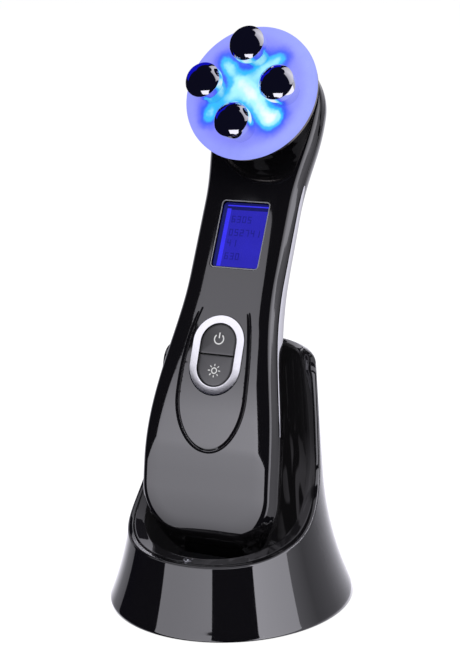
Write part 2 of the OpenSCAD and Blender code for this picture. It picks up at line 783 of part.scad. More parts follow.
module cup_liner() {
    color("#151518") difference() {
        union() {
            // rim band and walls, with the space between cup and skin left open below
            difference() {
                rotate_extrude($fn = 180) intersection() {
                    stand_outline(skin_t + seam);
                    translate([0, cup_floor_z - liner_t]) square([big, big]);
                }
                rim_cut(0);
                difference() {
                    rotate_extrude($fn = 180) difference() {
                        translate([0, -1]) square([big, stand_h - 2]);
                        cup_outline(liner_t, cup_floor_z - liner_t);
                    }
                    rim_under();
                }
            }
            at_posts() translate([0, 0, plate_top]) cylinder(r = post_r, h = cup_floor_z - liner_t - plate_top + 0.3, $fn = 32);
        }
        rotate_extrude($fn = 180) cup_outline(0, cup_floor_z);
        at_posts() translate([0, 0, plate_top - 1]) cylinder(r = base_screw_r + fit_gap, h = base_bite + 1.2, $fn = 32);
        translate([0, seat_y, 0]) linear_extrude(cup_floor_z + 1) rounded_rect(seat_w + 2 * case_gap, seat_d + 2 * case_gap, 3);
        translate([0, -light_out, rim_z - 8]) cylinder(r = light_r + 0.6 + case_gap, h = 20, $fn = 48);
    }
}

// everything more than liner_t below the rim
module rim_under() {
    intersection() {
        rim_cut(liner_t + 0.2);
        translate([-big / 2, -big / 2, 0]) cube([big, big, big]);
    }
}

// ---------- contact seat ----------
seat_w = 24;
seat_d = 17;
seat_flange = 1.6;
shoulder = 2;            // thickness of the seat over the pins' flanges
chamber = pin_travel + 3.8;  // length of each spring chamber
pin_flange_r = pin_r + 0.7;
pin_flange_t = 0.6;
pin_tip = seat_gap + pad_recess - 0.1;
board_drop = shoulder + chamber;
contact_board_w = pin_pitch + 8.4;
contact_board_d = 7.2;
contact_board_t = 1;
board_room = 0.3;        // room round the contact board
seat_top = foot_z - seat_gap;

module contact_seat() {
    color("#232327") difference() {
        union() {
            difference() {
                translate([0, seat_y, cup_floor_z - liner_t - seat_flange]) linear_extrude(40) rounded_rect(seat_w, seat_d, 3);
                in_stand() translate([-big / 2, -big / 2, seat_top]) cube([big, big, big]);
            }
            translate([0, seat_y, cup_floor_z - liner_t - seat_flange]) linear_extrude(seat_flange)
                rounded_rect(seat_w + 5, seat_d + 4, 3);
        }
        in_stand() for (x = [-1, 1]) translate([x * pin_pitch / 2, seat_y_local, seat_top]) {
            translate([0, 0, -shoulder - 1]) cylinder(r = pin_r + fit_gap, h = shoulder + 2, $fn = 32);
            translate([0, 0, -board_drop - 1]) cylinder(r = pin_flange_r + 0.2, h = chamber + 1, $fn = 32);
        }
        // room for the contact board, open below
        intersection() {
            translate([0, seat_y - board_drop * sin(lean), 0]) linear_extrude(big, center = true)
                square([contact_board_w + 2 * board_room, contact_board_d + 4 * board_room], center = true);
            in_stand() translate([-big / 2, -big / 2, seat_top - board_drop - big]) cube([big, big, big]);
        }
    }
}

module contact_board() {
    color("#1f5a36") in_stand() translate([0, seat_y_local, seat_top - board_drop - contact_board_t / 2])
        cube([contact_board_w, contact_board_d, contact_board_t], center = true);
}

module contact_pin(side) {
    color("#e3c06a") in_stand() translate([side * pin_pitch / 2, seat_y_local, seat_top]) {
        translate([0, 0, -shoulder]) cylinder(r = pin_r, h = shoulder + pin_tip, $fn = 32);
        translate([0, 0, -shoulder - pin_flange_t]) cylinder(r = pin_flange_r, h = pin_flange_t, $fn = 32);
    }
}

// coil between the pin's flange and the board
spring_wire = 0.22;
spring_turns = 4;
spring_steps = 10;
module pin_spring(side) {
    top = -shoulder - pin_flange_t - spring_wire;
    low = -board_drop + spring_wire;
    r = pin_flange_r - 0.35;
    sides = 5;
    n = spring_turns * spring_steps;
    rings = [for (i = [0:n]) let (a = 360 * i / spring_steps, z = low + (top - low) * i / n)
        [for (j = [0:sides - 1]) let (b = 360 * j / sides, q = r + spring_wire * cos(b))
            [q * cos(a), q * sin(a), z + spring_wire * sin(b)]]];
    points = [for (q = rings) each q];
    walls = [for (k = [0:n - 1], i = [0:sides - 1]) let (j = (i + 1) % sides,
        a = k * sides + i, b = k * sides + j, c = (k + 1) * sides + j, d = (k + 1) * sides + i)
        each [[a, b, c], [a, c, d]]];
    ends = [[for (i = [sides - 1:-1:0]) i], [for (i = [0:sides - 1]) n * sides + i]];
    color("#b9bbc2") in_stand() translate([side * pin_pitch / 2, seat_y_local, seat_top])
        polyhedron(points, concat([for (f = walls) [f[2], f[1], f[0]]], [for (f = ends) [for (i = [len(f) - 1:-1:0]) f[i]]]));
}

// ---------- charge light ----------
light_out = cup_r + 2.4;
module light_bezel() {
    color("#c9cbd2") translate([0, -light_out, 0]) difference() {
        translate([0, 0, rim_z - 1.6]) cylinder(r = light_r + 0.6, h = 1.8, $fn = 48);
        translate([0, 0, rim_z - 3]) cylinder(r = light_r, h = 5, $fn = 48);
    }
}

module charge_led() {
    color("#e8ecff") translate([0, -light_out, 0]) {
        translate([0, 0, rim_z - 5]) cylinder(r = light_r - fit_gap, h = 4.9, $fn = 32);
        translate([0, 0, rim_z - 5.8]) cylinder(r = light_r + 0.3, h = 0.8, $fn = 32);
    }
}

// ---------- inside the base ----------
plate_t = 2.9;
plate_low = foot_h;
plate_top = plate_low + plate_t;
base_screw_r = 1;
base_head_r = 2;
base_head_h = 0.9;
base_grip = 0.8;         // plate under each screw head
base_bite = 1.8;         // thread in each post
plate_gap = 0.2;
pad_recess_h = 0.6;      // the foot pad is let into the plate by this much
module base_plate() {
    color("#26262a") difference() {
        translate([0, 0, plate_low]) cylinder(r = skirt_r(plate_top, skin_t) - plate_gap, h = plate_t, $fn = 180);
        at_posts() translate([0, 0, plate_low - 1]) cylinder(r = base_screw_r + 0.2, h = plate_t + 2, $fn = 32);
        at_posts() translate([0, 0, plate_low - 1]) cylinder(r = base_head_r + 0.3, h = plate_t - base_grip + 1, $fn = 32);
        translate([0, 0, plate_low - 1]) cylinder(r = base_r - pad_margin + case_gap, h = 1 + pad_recess_h, $fn = 180);
    }
}

module base_screws() {
    color("#8a8a90") at_posts() {
        translate([0, 0, plate_top - base_grip]) cylinder(r = base_screw_r, h = base_grip + base_bite, $fn = 32);
        translate([0, 0, plate_top - base_grip - base_head_h]) cylinder(r = base_head_r, h = base_head_h, $fn = 32);
    }
}

module foot_pad() {
    color("#2b2b2d") cylinder(r = base_r - pad_margin, h = plate_low + pad_recess_h, $fn = 180);
}

ballast_in = cup_r + liner_t + 1;
ballast_h = 7;
module ballast_ring() {
    color("#70747a") difference() {
        translate([0, 0, plate_top]) cylinder(r = skirt_r(plate_top + ballast_h, skin_t) - 0.4, h = ballast_h, $fn = 180);
        translate([0, 0, plate_top - 1]) cylinder(r = ballast_in, h = ballast_h + 2, $fn = 180);
        translate([-jack_w / 2 - 1, 0, plate_top - 1]) cube([jack_w + 2, big, ballast_h + 2]);
    }
}

jack_w = 9;
jack_hgt = 7.4;
jack_front = skirt_r(plate_top + jack_hgt, skin_t) - 0.4;
jack_l = jack_front - cup_r - liner_t - case_gap;
jack_end = 1.2;          // solid end behind the bore
jack_z = plate_top + jack_hgt / 2;
jack_hole_r = 3;
jack_bore_r = 1.8;
jack_pin_r = 0.65;
module dc_jack() {
    color("#1b1b1d") difference() {
        translate([-jack_w / 2, jack_front - jack_l, plate_top]) cube([jack_w, jack_l, jack_hgt]);
        translate([0, jack_front - jack_l + jack_end, jack_z]) rotate([-90, 0, 0]) difference() {
            cylinder(r = jack_bore_r, h = jack_l, $fn = 48);
            cylinder(r = jack_pin_r, h = jack_l - 2 * jack_end, $fn = 32);
        }
    }
}

stand_shell();
cup_liner();
contact_seat();
contact_board();
contact_pin(-1);  // contact_pin_left
contact_pin(1);  // contact_pin_right
pin_spring(-1);  // pin_spring_left
pin_spring(1);  // pin_spring_right
light_bezel();
charge_led();
dc_jack();
ballast_ring();
base_plate();
base_screws();
foot_pad();
front_shell();
rear_shell();
side_strip(-1);  // side_strip_left
side_strip(1);  // side_strip_right
case_screws();
lcd_window();
lcd_panel();
lcd_backlight();
lcd_holder();
button_ring();
power_button();
select_button();
stem(1);  // power_stem
stem(-1);  // select_stem
switch_bodies();
key_board();
main_board();
battery();
charge_contacts();
head_collar();
collar_screws();
trim_ring();
head_lens();
led_board();
leds();
electrode(1);  // electrode_top
electrode(0);  // electrode_right
electrode(3);  // electrode_bottom
electrode(2);  // electrode_left
electrode_nuts();
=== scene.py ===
import math

import bmesh
import bpy
from mathutils import Matrix, Vector
from mathutils.geometry import delaunay_2d_cdt


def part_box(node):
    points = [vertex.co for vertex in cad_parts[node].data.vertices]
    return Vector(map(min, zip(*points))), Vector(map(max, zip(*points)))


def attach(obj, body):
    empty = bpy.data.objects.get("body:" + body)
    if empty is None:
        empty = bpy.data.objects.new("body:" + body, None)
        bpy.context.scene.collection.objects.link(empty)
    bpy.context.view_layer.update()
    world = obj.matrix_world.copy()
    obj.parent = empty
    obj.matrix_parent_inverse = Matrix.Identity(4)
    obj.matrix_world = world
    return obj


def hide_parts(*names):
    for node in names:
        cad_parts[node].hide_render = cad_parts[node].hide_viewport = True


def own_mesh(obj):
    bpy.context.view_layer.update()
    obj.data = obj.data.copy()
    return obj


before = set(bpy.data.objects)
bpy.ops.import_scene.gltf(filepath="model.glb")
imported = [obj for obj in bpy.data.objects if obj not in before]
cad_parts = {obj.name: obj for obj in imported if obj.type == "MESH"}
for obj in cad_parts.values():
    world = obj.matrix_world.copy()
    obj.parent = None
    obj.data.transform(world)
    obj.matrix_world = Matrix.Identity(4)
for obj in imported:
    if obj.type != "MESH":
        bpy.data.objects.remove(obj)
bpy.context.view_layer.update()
mm = 0.001

# the handset's own frame: upright along its neck, face towards -Y, lengths in millimetres
place = {"lean": 30.5, "handY": 2.454, "handZ": 103.228}
handset = (Matrix.Translation((0, place["handY"], place["handZ"]))
           @ Matrix.Rotation(math.radians(-place["lean"]), 4, "X"))
stand = Matrix.Identity(4)


def ease(t):
    return 0 if t <= 0 else 1 if t >= 1 else (1 - math.cos(math.pi * t)) / 2


def blend(z, z0, z1, a, b):
    return a + (b - a) * ease((z - z0) / (z1 - z0))


def quarter(steps, first=0):
    # angles of a quarter turn, from its start or from a later step
    return [math.pi / 2 * k / steps for k in range(first, steps + 1)]


def addObject(name, data):
    thing = bpy.data.objects.new(name, data)
    bpy.context.scene.collection.objects.link(thing)
    return thing


def makePiece(name, body, material, local, verts, faces, normals=None, replaced=(), smooth=True):
    # a mesh in a local millimetre frame becomes a piece of the object
    mesh = bpy.data.meshes.new(name)
    mesh.from_pydata([local @ Vector(v) * mm for v in verts], [], faces)
    mesh.validate()
    for p in mesh.polygons:
        p.use_smooth = smooth
    piece = addObject(name, mesh)
    piece.data.materials.append(material)
    if normals is not None:
        turn = local.to_3x3()
        mesh.normals_split_custom_set_from_vertices([(turn @ Vector(n)).normalized() for n in normals])
    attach(piece, body)
    if replaced:
        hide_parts(*replaced)
    return piece


def grid(rows, closed=True, flip=False):
    # faces of rows of equal length; closed joins the last column to the first
    n = len(rows[0])
    verts = [p for row in rows for p in row]
    faces = []
    for k in range(len(rows) - 1):
        for i in range(n if closed else n - 1):
            j = (i + 1) % n
            quad = (k * n + i, k * n + j, (k + 1) * n + j, (k + 1) * n + i)
            faces.append(quad[::-1] if flip else quad)
    return verts, faces


def lathe(profile, steps, centre=(0, 0)):
    # turns a profile of (radius, height) pairs; the ends may lie on the axis
    rows = []
    for r, z in profile:
        row = []
        for i in range(steps):
            a = 2 * math.pi * i / steps
            row.append((centre[0] + r * math.cos(a), centre[1] + r * math.sin(a), z))
        rows.append(row)
    return grid(rows)


def rounded(points, radius, steps=6):
    # rounds every inner corner of an open polyline of 2D points by its radius
    out = [Vector(points[0])]
    for i in range(1, len(points) - 1):
        p = Vector(points[i])
        r = radius[i] if isinstance(radius, (list, tuple)) else radius
        u = Vector(points[i - 1]) - p
        v = Vector(points[i + 1]) - p
        if r <= 0 or u.length < 1e-6 or v.length < 1e-6:
            out.append(p)
            continue
        ul, vl = u.length, v.length
        u.normalize()
        v.normalize()
        half = math.acos(max(-1, min(1, u.dot(v)))) / 2
        reach = min(r / math.tan(half), 0.48 * ul, 0.48 * vl)
        r = reach * math.tan(half)
        mid = p + (u + v).normalized() * (r / math.sin(half))
        a0 = (p + u * reach) - mid
        a1 = (p + v * reach) - mid
        turn = a0.angle_signed(a1)
        for k in range(steps + 1):
            c, s = math.cos(-turn * k / steps), math.sin(-turn * k / steps)
            out.append(mid + Vector((a0.x * c - a0.y * s, a0.x * s + a0.y * c)))
    out.append(Vector(points[-1]))
    return [tuple(p) for p in out]


def flatCaps(piece):
    # wide end faces keep flat shading beside their rounded edges
    for p in piece.data.polygons:
        p.use_smooth = len(p.vertices) < 5


def weld(piece, distance=0.00002):
    bm = bmesh.new()
    bm.from_mesh(piece.data)
    bmesh.ops.remove_doubles(bm, verts=bm.verts, dist=distance)
    bmesh.ops.dissolve_degenerate(bm, dist=1e-7, edges=bm.edges)
    bmesh.ops.recalc_face_normals(bm, faces=bm.faces)
    bm.to_mesh(piece.data)
    bm.free()
    for p in piece.data.polygons:
        p.use_smooth = True


def newMaterial(name):
    m = bpy.data.materials.new(name)
    m.use_nodes = True
    m.node_tree.nodes.clear()
    return m, m.node_tree


def addNode(tree, kind, values=None, **settings):
    # a shader node; each input gets a value or the output of another node
    node = tree.nodes.new("ShaderNode" + kind)
    for key, value in settings.items():
        setattr(node, key, value)
    for key, value in (values or {}).items():
        if isinstance(value, bpy.types.NodeSocket):
            tree.links.new(value, node.inputs[key])
        else:
            node.inputs[key].default_value = value
    return node


def objectPoint(tree):
    return addNode(tree, "TexCoord").outputs["Object"]


def noiseAt(tree, point, scale, detail, extra=None):
    values = {"Vector": point, "Scale": scale, "Detail": detail, **(extra or {})}
    return addNode(tree, "TexNoise", values).outputs["Fac"]


def calc(tree, operation, *parts):
    return addNode(tree, "Math", dict(enumerate(parts)), operation=operation).outputs[0]


def remap(tree, value, fromLow, fromHigh, toLow, toHigh, kind="LINEAR"):
    values = {"Value": value, "From Min": fromLow, "From Max": fromHigh, "To Min": toLow, "To Max": toHigh}
    return addNode(tree, "MapRange", values, interpolation_type=kind).outputs["Result"]


def surface(name, base, rough, metal=0.0, roughSpread=0.03, bump=0.0, bumpScale=400.0, mottle=0.0,
            extra=None):
    # a Principled surface whose roughness, colour and relief vary a little from place to place
    m, tree = newMaterial(name)
    point = objectPoint(tree)
    noise = noiseAt(tree, point, 90.0, 5.0, {"Roughness": 0.6})
    varied = remap(tree, noise, 0.3, 0.7, max(0.0, rough - roughSpread), rough + roughSpread)
    values = {"Base Color": (*base, 1.0), "Metallic": metal, "Roughness": varied}
    shader = addNode(tree, "BsdfPrincipled", {**values, **(extra or {})})
    if mottle:
        deep = (*[c * (1 - mottle) for c in base], 1.0)
        pale = (*[min(1.0, c * (1 + mottle)) for c in base], 1.0)
        mix = addNode(tree, "Mix", {"Factor": noise, "A": deep, "B": pale}, data_type="RGBA")
        tree.links.new(mix.outputs["Result"], shader.inputs["Base Color"])
    if bump:
        fine = noiseAt(tree, point, bumpScale, 3.0)
        relief = addNode(tree, "Bump", {"Strength": bump, "Distance": 0.0001, "Height": fine})
        tree.links.new(relief.outputs["Normal"], shader.inputs["Normal"])
    addNode(tree, "OutputMaterial", {"Surface": shader.outputs["BSDF"]})
    return m


look = {
    "black": (0.0062, 0.0058, 0.007),
    "blackRough": 0.045,
    "buttonBlack": (0.05, 0.049, 0.054),
    "silver": (0.9, 0.9, 0.92),
    "chrome": (0.86, 0.86, 0.9),
    "gunmetal": (0.36, 0.33, 0.31),
    "lcd": (0.032, 0.026, 0.48),
}


def glossBlack(name):
    return surface(name, look["black"], look["blackRough"], roughSpread=0.015, bump=0.004, bumpScale=250.0,
                   extra={"IOR": 1.5, "Coat Weight": 0.6, "Coat Roughness": 0.02})


pianoBlack = glossBlack("piano black")
satinBlack = surface("satin black", (0.012, 0.012, 0.014), 0.42, roughSpread=0.08, bump=0.15, bumpScale=900.0)
buttonBlack = surface("button black", look["buttonBlack"], 0.16, roughSpread=0.03, bump=0.03)
windowEdge = surface("window edge", (0.3, 0.3, 0.33), 0.3, roughSpread=0.05, bump=0.02)
silverRing = surface("silver ring", look["silver"], 0.22, metal=1.0, roughSpread=0.04)
brightMetal = surface("bright metal", look["chrome"], 0.1, metal=1.0, roughSpread=0.03)
electrodeChrome = surface("electrode chrome", look["chrome"], 0.055, metal=1.0, roughSpread=0.012)
gunMetal = surface("gunmetal", look["gunmetal"], 0.26, metal=1.0, roughSpread=0.05, mottle=0.08)
whitePlastic = surface("white plastic", (0.75, 0.75, 0.73), 0.45, roughSpread=0.06, mottle=0.04)
boardGreen = surface("board green", (0.01, 0.12, 0.045), 0.35, roughSpread=0.06, mottle=0.25, bump=0.1)
foil = surface("battery foil", (0.45, 0.47, 0.5), 0.4, metal=0.5, roughSpread=0.1, mottle=0.1, bump=0.2)
gold = surface("gold plate", (0.9, 0.62, 0.25), 0.16, metal=1.0, roughSpread=0.05)
steel = surface("screw steel", (0.5, 0.5, 0.52), 0.3, metal=1.0, roughSpread=0.08, mottle=0.1)
springSteel = surface("spring steel", (0.62, 0.63, 0.65), 0.24, metal=1.0, roughSpread=0.05)
castIron = surface("cast iron", (0.12, 0.12, 0.125), 0.6, metal=0.6, roughSpread=0.12, bump=0.6,
                   bumpScale=500.0, mottle=0.2)
padRubber = surface("pad rubber", (0.02, 0.02, 0.02), 0.75, roughSpread=0.1, bump=0.5, bumpScale=1200.0)
markWhite = surface("mark white", (0.85, 0.85, 0.86), 0.4, roughSpread=0.05, mottle=0.03)
lampBody = surface("lamp body", (0.7, 0.85, 1.0), 0.2, roughSpread=0.05,
                   extra={"Emission Color": (0.35, 0.75, 1.0, 1.0), "Emission Strength": 1.5})
chargePipe = surface("charge pipe", (0.75, 0.78, 0.9), 0.15, roughSpread=0.05)
print("materials ready")

shell = {
    "gripLen": 76, "neckLen": 77.8, "bendR": 164, "headR": 20.2, "cornerR": 16,  # line and ends of the face
    "gripW": 49.3, "neckW": 33.7, "taper": (-52, 15), "flareLen": 35.8,  # widths and where they change
    "gripT": 31, "neckT": 22.5, "footT": 27, "footEnd": -30, "thin": (-12, 26),  # thicknesses, the same
    "bulge": 1.5, "tuckFrom": 62, "tuckTo": 92, "tuckLeft": 0.4,  # bulge of the sides and where it ends
    "power": 1.75, "footPower": 6, "spineLow": 50, "maxDepth": 5, "chin": 5,  # roundness of the back and chin
    "edgeR": 2.5, "edgeReach": 0.4, "edgeFull": 70, "edgeTurn": 60, "creaseDepth": 3.2,  # edge of the face
    "rollW": 4.5, "rollDepth": 0.22, "rollPower": 2.2,  # roll-off before the edge
    "partDepth": 4.6, "partRound": 0.22, "partGap": 0.06, "partSink": 0.1,  # parting line
    "wall": 2, "inside": ((1.2, 0.6), (2.6, 0.0)),  # wall, and rings behind the edge: inwards, back
    "opening": 0.3, "windowWall": 1.4, "windowLedge": 0.9, "ringWall": 2.0,  # openings of the face
}
flareFrom = shell["neckLen"] - shell["flareLen"]


def faceY(z):
    return shell["bendR"] - math.sqrt(shell["bendR"] ** 2 - z * z) if z < 0 else 0.0


def faceSlope(z):
    return -z / math.sqrt(shell["bendR"] ** 2 - z * z) if z < 0 else 0.0


def halfW(z):
    if z < flareFrom:
        return blend(z, *shell["taper"], shell["gripW"] / 2, shell["neckW"] / 2)
    return blend(z, flareFrom, shell["neckLen"], shell["neckW"] / 2, shell["headR"])


def thick(z):
    if z < shell["footEnd"]:
        return blend(z, -shell["gripLen"], shell["footEnd"], shell["footT"], shell["gripT"])
    return blend(z, *shell["thin"], shell["gripT"], shell["neckT"])


def rightSide():
    # right half of the face's outline, from the foot up over the head
    pts = []
    rc = shell["cornerR"]
    for i in range(20):
        a = math.pi / 2 * i / 20
        z = -shell["gripLen"] + rc * (1 - math.cos(a))
        pts.append((halfW(z) - rc * (1 - math.sin(a)), z))
    z0 = -shell["gripLen"] + rc
    for i in range(110):
        z = z0 + (shell["neckLen"] - z0) * i / 110
        pts.append((halfW(z), z))
    for i in range(41):
        a = math.radians(89.6) * i / 40
        pts.append((shell["headR"] * math.cos(a), shell["neckLen"] + shell["headR"] * math.sin(a)))
    return pts


half = rightSide()
foot = [(half[0][0] * k / 6, half[0][1]) for k in range(1, 6)]
right = [(0.0, half[0][1])] + foot + half
outline = right + [(-x, z) for x, z in right[:0:-1]]
outward = []
for i in range(len(outline)):
    a, b = outline[i - 1], outline[(i + 1) % len(outline)]
    d = Vector((b[1] - a[1], -(b[0] - a[0])))
    outward.append(d.normalized())
for i, (x, z) in enumerate(outline):
    if z <= -shell["gripLen"] + 1e-6:
        outward[i] = Vector((0, -1))


def tucked(off, z):
    # the bulge of the sides dies out over the end of the head
    if off < shell["tuckLeft"]:
        return off
    return blend(z, shell["tuckFrom"], shell["tuckTo"], off, shell["tuckLeft"])


def faceRing(off, depth, wall=0.0):
    ring = []
    for (x, z), n in zip(outline, outward):
        o = tucked(off, z) - wall
        zz = z + o * n.y
        ring.append((x + o * n.x, faceY(zz) + depth, zz))
    return ring


# where the rounded edge of the face starts, measured outwards from the outline
edgeOff = shell["edgeReach"] - shell["edgeR"] * math.sin(math.radians(shell["edgeFull"]))


def rollDrop(inside):
    # the face rolls off gently before its rounded edge: its drop at a distance inside the edge's start
    t = max(0.0, 1 - inside / shell["rollW"])
    return shell["rollDepth"] * t ** shell["rollPower"]


rollSlope = shell["rollPower"] * shell["rollDepth"] / shell["rollW"]


def backRing(theta):
    # ring of the rounded back; theta goes from the parting line to the middle of the back
    g = math.sin(theta) ** (2 / shell["power"])
    k = max(0.0, math.cos(theta)) ** (2 / shell["power"])
    kz = (1 - g ** shell["footPower"]) ** (1 / shell["footPower"]) if g < 1 else 0.0
    ring = []
    for (x, z), n in zip(outline, outward):
        o = tucked(shell["bulge"], z)
        px, pz = x + o * n.x, z + o * n.y
        low = max(0.0, (-shell["spineLow"] - pz) / (shell["gripLen"] + shell["bulge"] - shell["spineLow"]))
        drop = (shell["chin"] - shell["bulge"]) * low * low * (1 - (1 - min(1, g * 4)) ** 2)
        if pz > shell["neckLen"]:
            zz = shell["neckLen"] + (pz - shell["neckLen"]) * k
        elif pz < -shell["spineLow"]:
            zz = -shell["spineLow"] + (pz - drop + shell["spineLow"]) * kz
        else:
            zz = pz
        ring.append((px * k, faceY(zz) + shell["maxDepth"] + (thick(zz) - shell["maxDepth"]) * g, zz))
    return ring


# the display window and the ring round the two buttons
window = {"w": 18.9, "h": 25.2, "z": 29.7, "corner": 1.6, "x": 0.0}
keys = {"ringW": 19.6, "ringH": 28.3, "band": 2.9, "z": 14.2}


def roundRect(w, tall, r, n=6):
    pts = []
    for cx, cz, a0 in ((w / 2 - r, tall / 2 - r, 0), (-w / 2 + r, tall / 2 - r, 90),
                       (-w / 2 + r, -tall / 2 + r, 180), (w / 2 - r, -tall / 2 + r, 270)):
        for k in range(n + 1):
            a = math.radians(a0 + 90 * k / n)
            pts.append((cx + r * math.cos(a), cz + r * math.sin(a)))
    return pts


def stadiumLoop(w, tall, n=40):
    r = w / 2
    return [(r * math.cos(turn + math.pi * k / n), middle + r * math.sin(turn + math.pi * k / n))
            for turn, middle in ((0, tall / 2 - r), (math.pi, r - tall / 2)) for k in range(n + 1)]


ringTilt = math.asin(keys["z"] / shell["bendR"])
buttonFrame = (handset @ Matrix.Translation((0, faceY(-keys["z"]), -keys["z"]))
               @ Matrix.Rotation(ringTilt, 4, "X"))


def windowOpening():
    room = shell["opening"]
    return [(x + window["x"], z + window["z"]) for x, z in
            roundRect(window["w"] + room, window["h"] + room, window["corner"])]


def ringOpening():
    room = shell["opening"]
    return [(x, -keys["z"] + z * math.cos(ringTilt)) for x, z in
            stadiumLoop(keys["ringW"] + room, keys["ringH"] + room)]


# egg-shaped line of the groove, open at the top
groove = {"half": 13.8, "w": 1.7, "depth": 0.5, "mid": -28.5, "low": 20, "high": 46, "top": 3, "fade": 9}


def eggPoint(t, a):
    tall = groove["high"] if math.sin(t) > 0 else groove["low"]
    return (a * math.cos(t), groove["mid"] + tall * math.sin(t) * a / groove["half"])


grooveLine = []
midA = groove["half"] - groove["w"] / 2
for k in range(361):
    t = math.radians(90 + k)
    p = eggPoint(t, midA)
    if p[1] < groove["top"] + 1:
        grooveLine.append(p)


def distanceTo(line, x, z, reach=14):
    # distance of a point of the face from a line, counting only what is within reach
    best = 1e9
    for (ax, az), (bx, bz) in zip(line, line[1:]):
        if abs(ax - x) + abs(az - z) > reach:
            continue
        dx, dz = bx - ax, bz - az
        t = max(0.0, min(1.0, ((x - ax) * dx + (z - az) * dz) / (dx * dx + dz * dz + 1e-12)))
        best = min(best, math.hypot(x - ax - t * dx, z - az - t * dz))
    return best


def grooveAt(x, z):
    # depth of the groove: a vee with a small fillet at each lip, fading out at its open top
    t = distanceTo(grooveLine, x, z) / (groove["w"] / 2)
    if t >= 1:
        return 0.0
    fade = ease((groove["top"] - z) / groove["fade"])
    deep = 1 - 1.11 * t if t < 0.8 else 0.112 * ((1 - t) / 0.2) ** 2
    return groove["depth"] * fade * deep


edgeLoop = [(x, z) for x, y, z in faceRing(edgeOff, 0)]
edgeLine = edgeLoop + edgeLoop[:1]


def insideEdge(x, z):
    # distance inside the start of the rounded edge
    return distanceTo(edgeLine, x, z)


def faceDepth(x, z):
    y = faceY(z)
    inside = insideEdge(x, z)
    if inside < shell["rollW"]:
        y += rollDrop(inside)
    if z < groove["top"] + 1 and abs(x) < groove["half"] + 1:
        y += grooveAt(x, z)
    return y


def pointIn(poly, x, z):
    hit = False
    n = len(poly)
    for i in range(n):
        x1, z1 = poly[i]
        x2, z2 = poly[(i + 1) % n]
        if (z1 > z) != (z2 > z) and x < (x2 - x1) * (z - z1) / (z2 - z1) + x1:
            hit = not hit
    return hit


# how fine the face is: rows over the roll-off and the groove, field in between, least distances
skin = {"rows": 6, "field": 1.3, "clear": 0.35, "apart": 0.06, "probe": 0.08,
        "grooveRows": (0.06, 0.3, 0.55, 0.8, 0.9, 1.0, 1.08)}


def buildFace():
    # the face up to its rounded edge, meshed flat in (x, z) round its two openings, then bent
    windowLoop, ringLoop = windowOpening(), ringOpening()
    pts, loops = [], []
    for loop in (edgeLoop, windowLoop, ringLoop):
        start = len(pts)
        pts += loop
        loops.append(list(range(start, len(pts))))
    edges = [(loop[i], loop[(i + 1) % len(loop)]) for loop in loops for i in range(len(loop))]
    # rows of points along the outline, where the face rolls off
    for k in range(1, skin["rows"] + 1):
        s = shell["rollW"] * k / skin["rows"]
        pts += [(x - n.x * s, z - n.y * s) for (x, z), n in zip(edgeLoop, outward)]
    # rows along the groove
    for share in [-t for t in reversed(skin["grooveRows"])] + list(skin["grooveRows"]):
        off = share * groove["w"] / 2
        for k in range(1, len(grooveLine) - 1):
            ax, az = grooveLine[k - 1]
            bx, bz = grooveLine[k + 1]
            d = Vector((bz - az, -(bx - ax))).normalized()
            pts.append((grooveLine[k][0] + d.x * off, grooveLine[k][1] + d.y * off))
    # an even field in between
    z = -shell["gripLen"] + 1
    while z < shell["neckLen"] + shell["headR"] - 3:
        x = 0.0
        while x < shell["gripW"] / 2:
            pts += [(side * x, z) for side in ((1, -1) if x else (1,))]
            x += skin["field"]
        z += skin["field"]
    kept = []
    fixed = len(edgeLoop) + len(windowLoop) + len(ringLoop)
    seen = set()

    def onSkin(x, z):
        return pointIn(edgeLoop, x, z) and not pointIn(windowLoop, x, z) and not pointIn(ringLoop, x, z)

    for i, p in enumerate(pts):
        if i >= fixed:
            key = (round(p[0] / skin["apart"]), round(p[1] / skin["apart"]))
            if not onSkin(*p) or insideEdge(*p) < skin["clear"] or key in seen:
                continue
            seen.add(key)
        kept.append(p)
    out = delaunay_2d_cdt([Vector(p) for p in kept], edges, [], 0, 1e-5)
    coords, tris = out[0], out[2]
    good = []
    for t in tris:
        cx = sum(coords[i].x for i in t) / len(t)
        cz = sum(coords[i].y for i in t) / len(t)
        if onSkin(cx, cz):
            a, b, c = (coords[i] for i in t[:3])
            area = (b.x - a.x) * (c.y - a.y) - (b.y - a.y) * (c.x - a.x)
            good.append(tuple(t) if area > 0 else tuple(t[::-1]))
    verts, normals = [], []
    e = skin["probe"]
    for p in coords:
        x, z = p
        verts.append((x, faceDepth(x, z), z))
        if insideEdge(x, z) > 0.1:
            gx = (faceDepth(x + e, z) - faceDepth(x - e, z)) / (2 * e)
            gz = (faceDepth(x, z + e) - faceDepth(x, z - e)) / (2 * e)
            normals.append((gx, -1.0, gz))
        else:  # points on the edge itself take their slope from the roll-off there
            near = min(range(len(edgeLoop)),
                       key=lambda q: (edgeLoop[q][0] - x) ** 2 + (edgeLoop[q][1] - z) ** 2)
            n = outward[near]
            normals.append((n.x * rollSlope, -1.0, n.y * rollSlope - faceSlope(z)))
    return verts, good, normals


# both halves meet this far outside the outline of the face
partOff = shell["bulge"] - shell["partSink"]


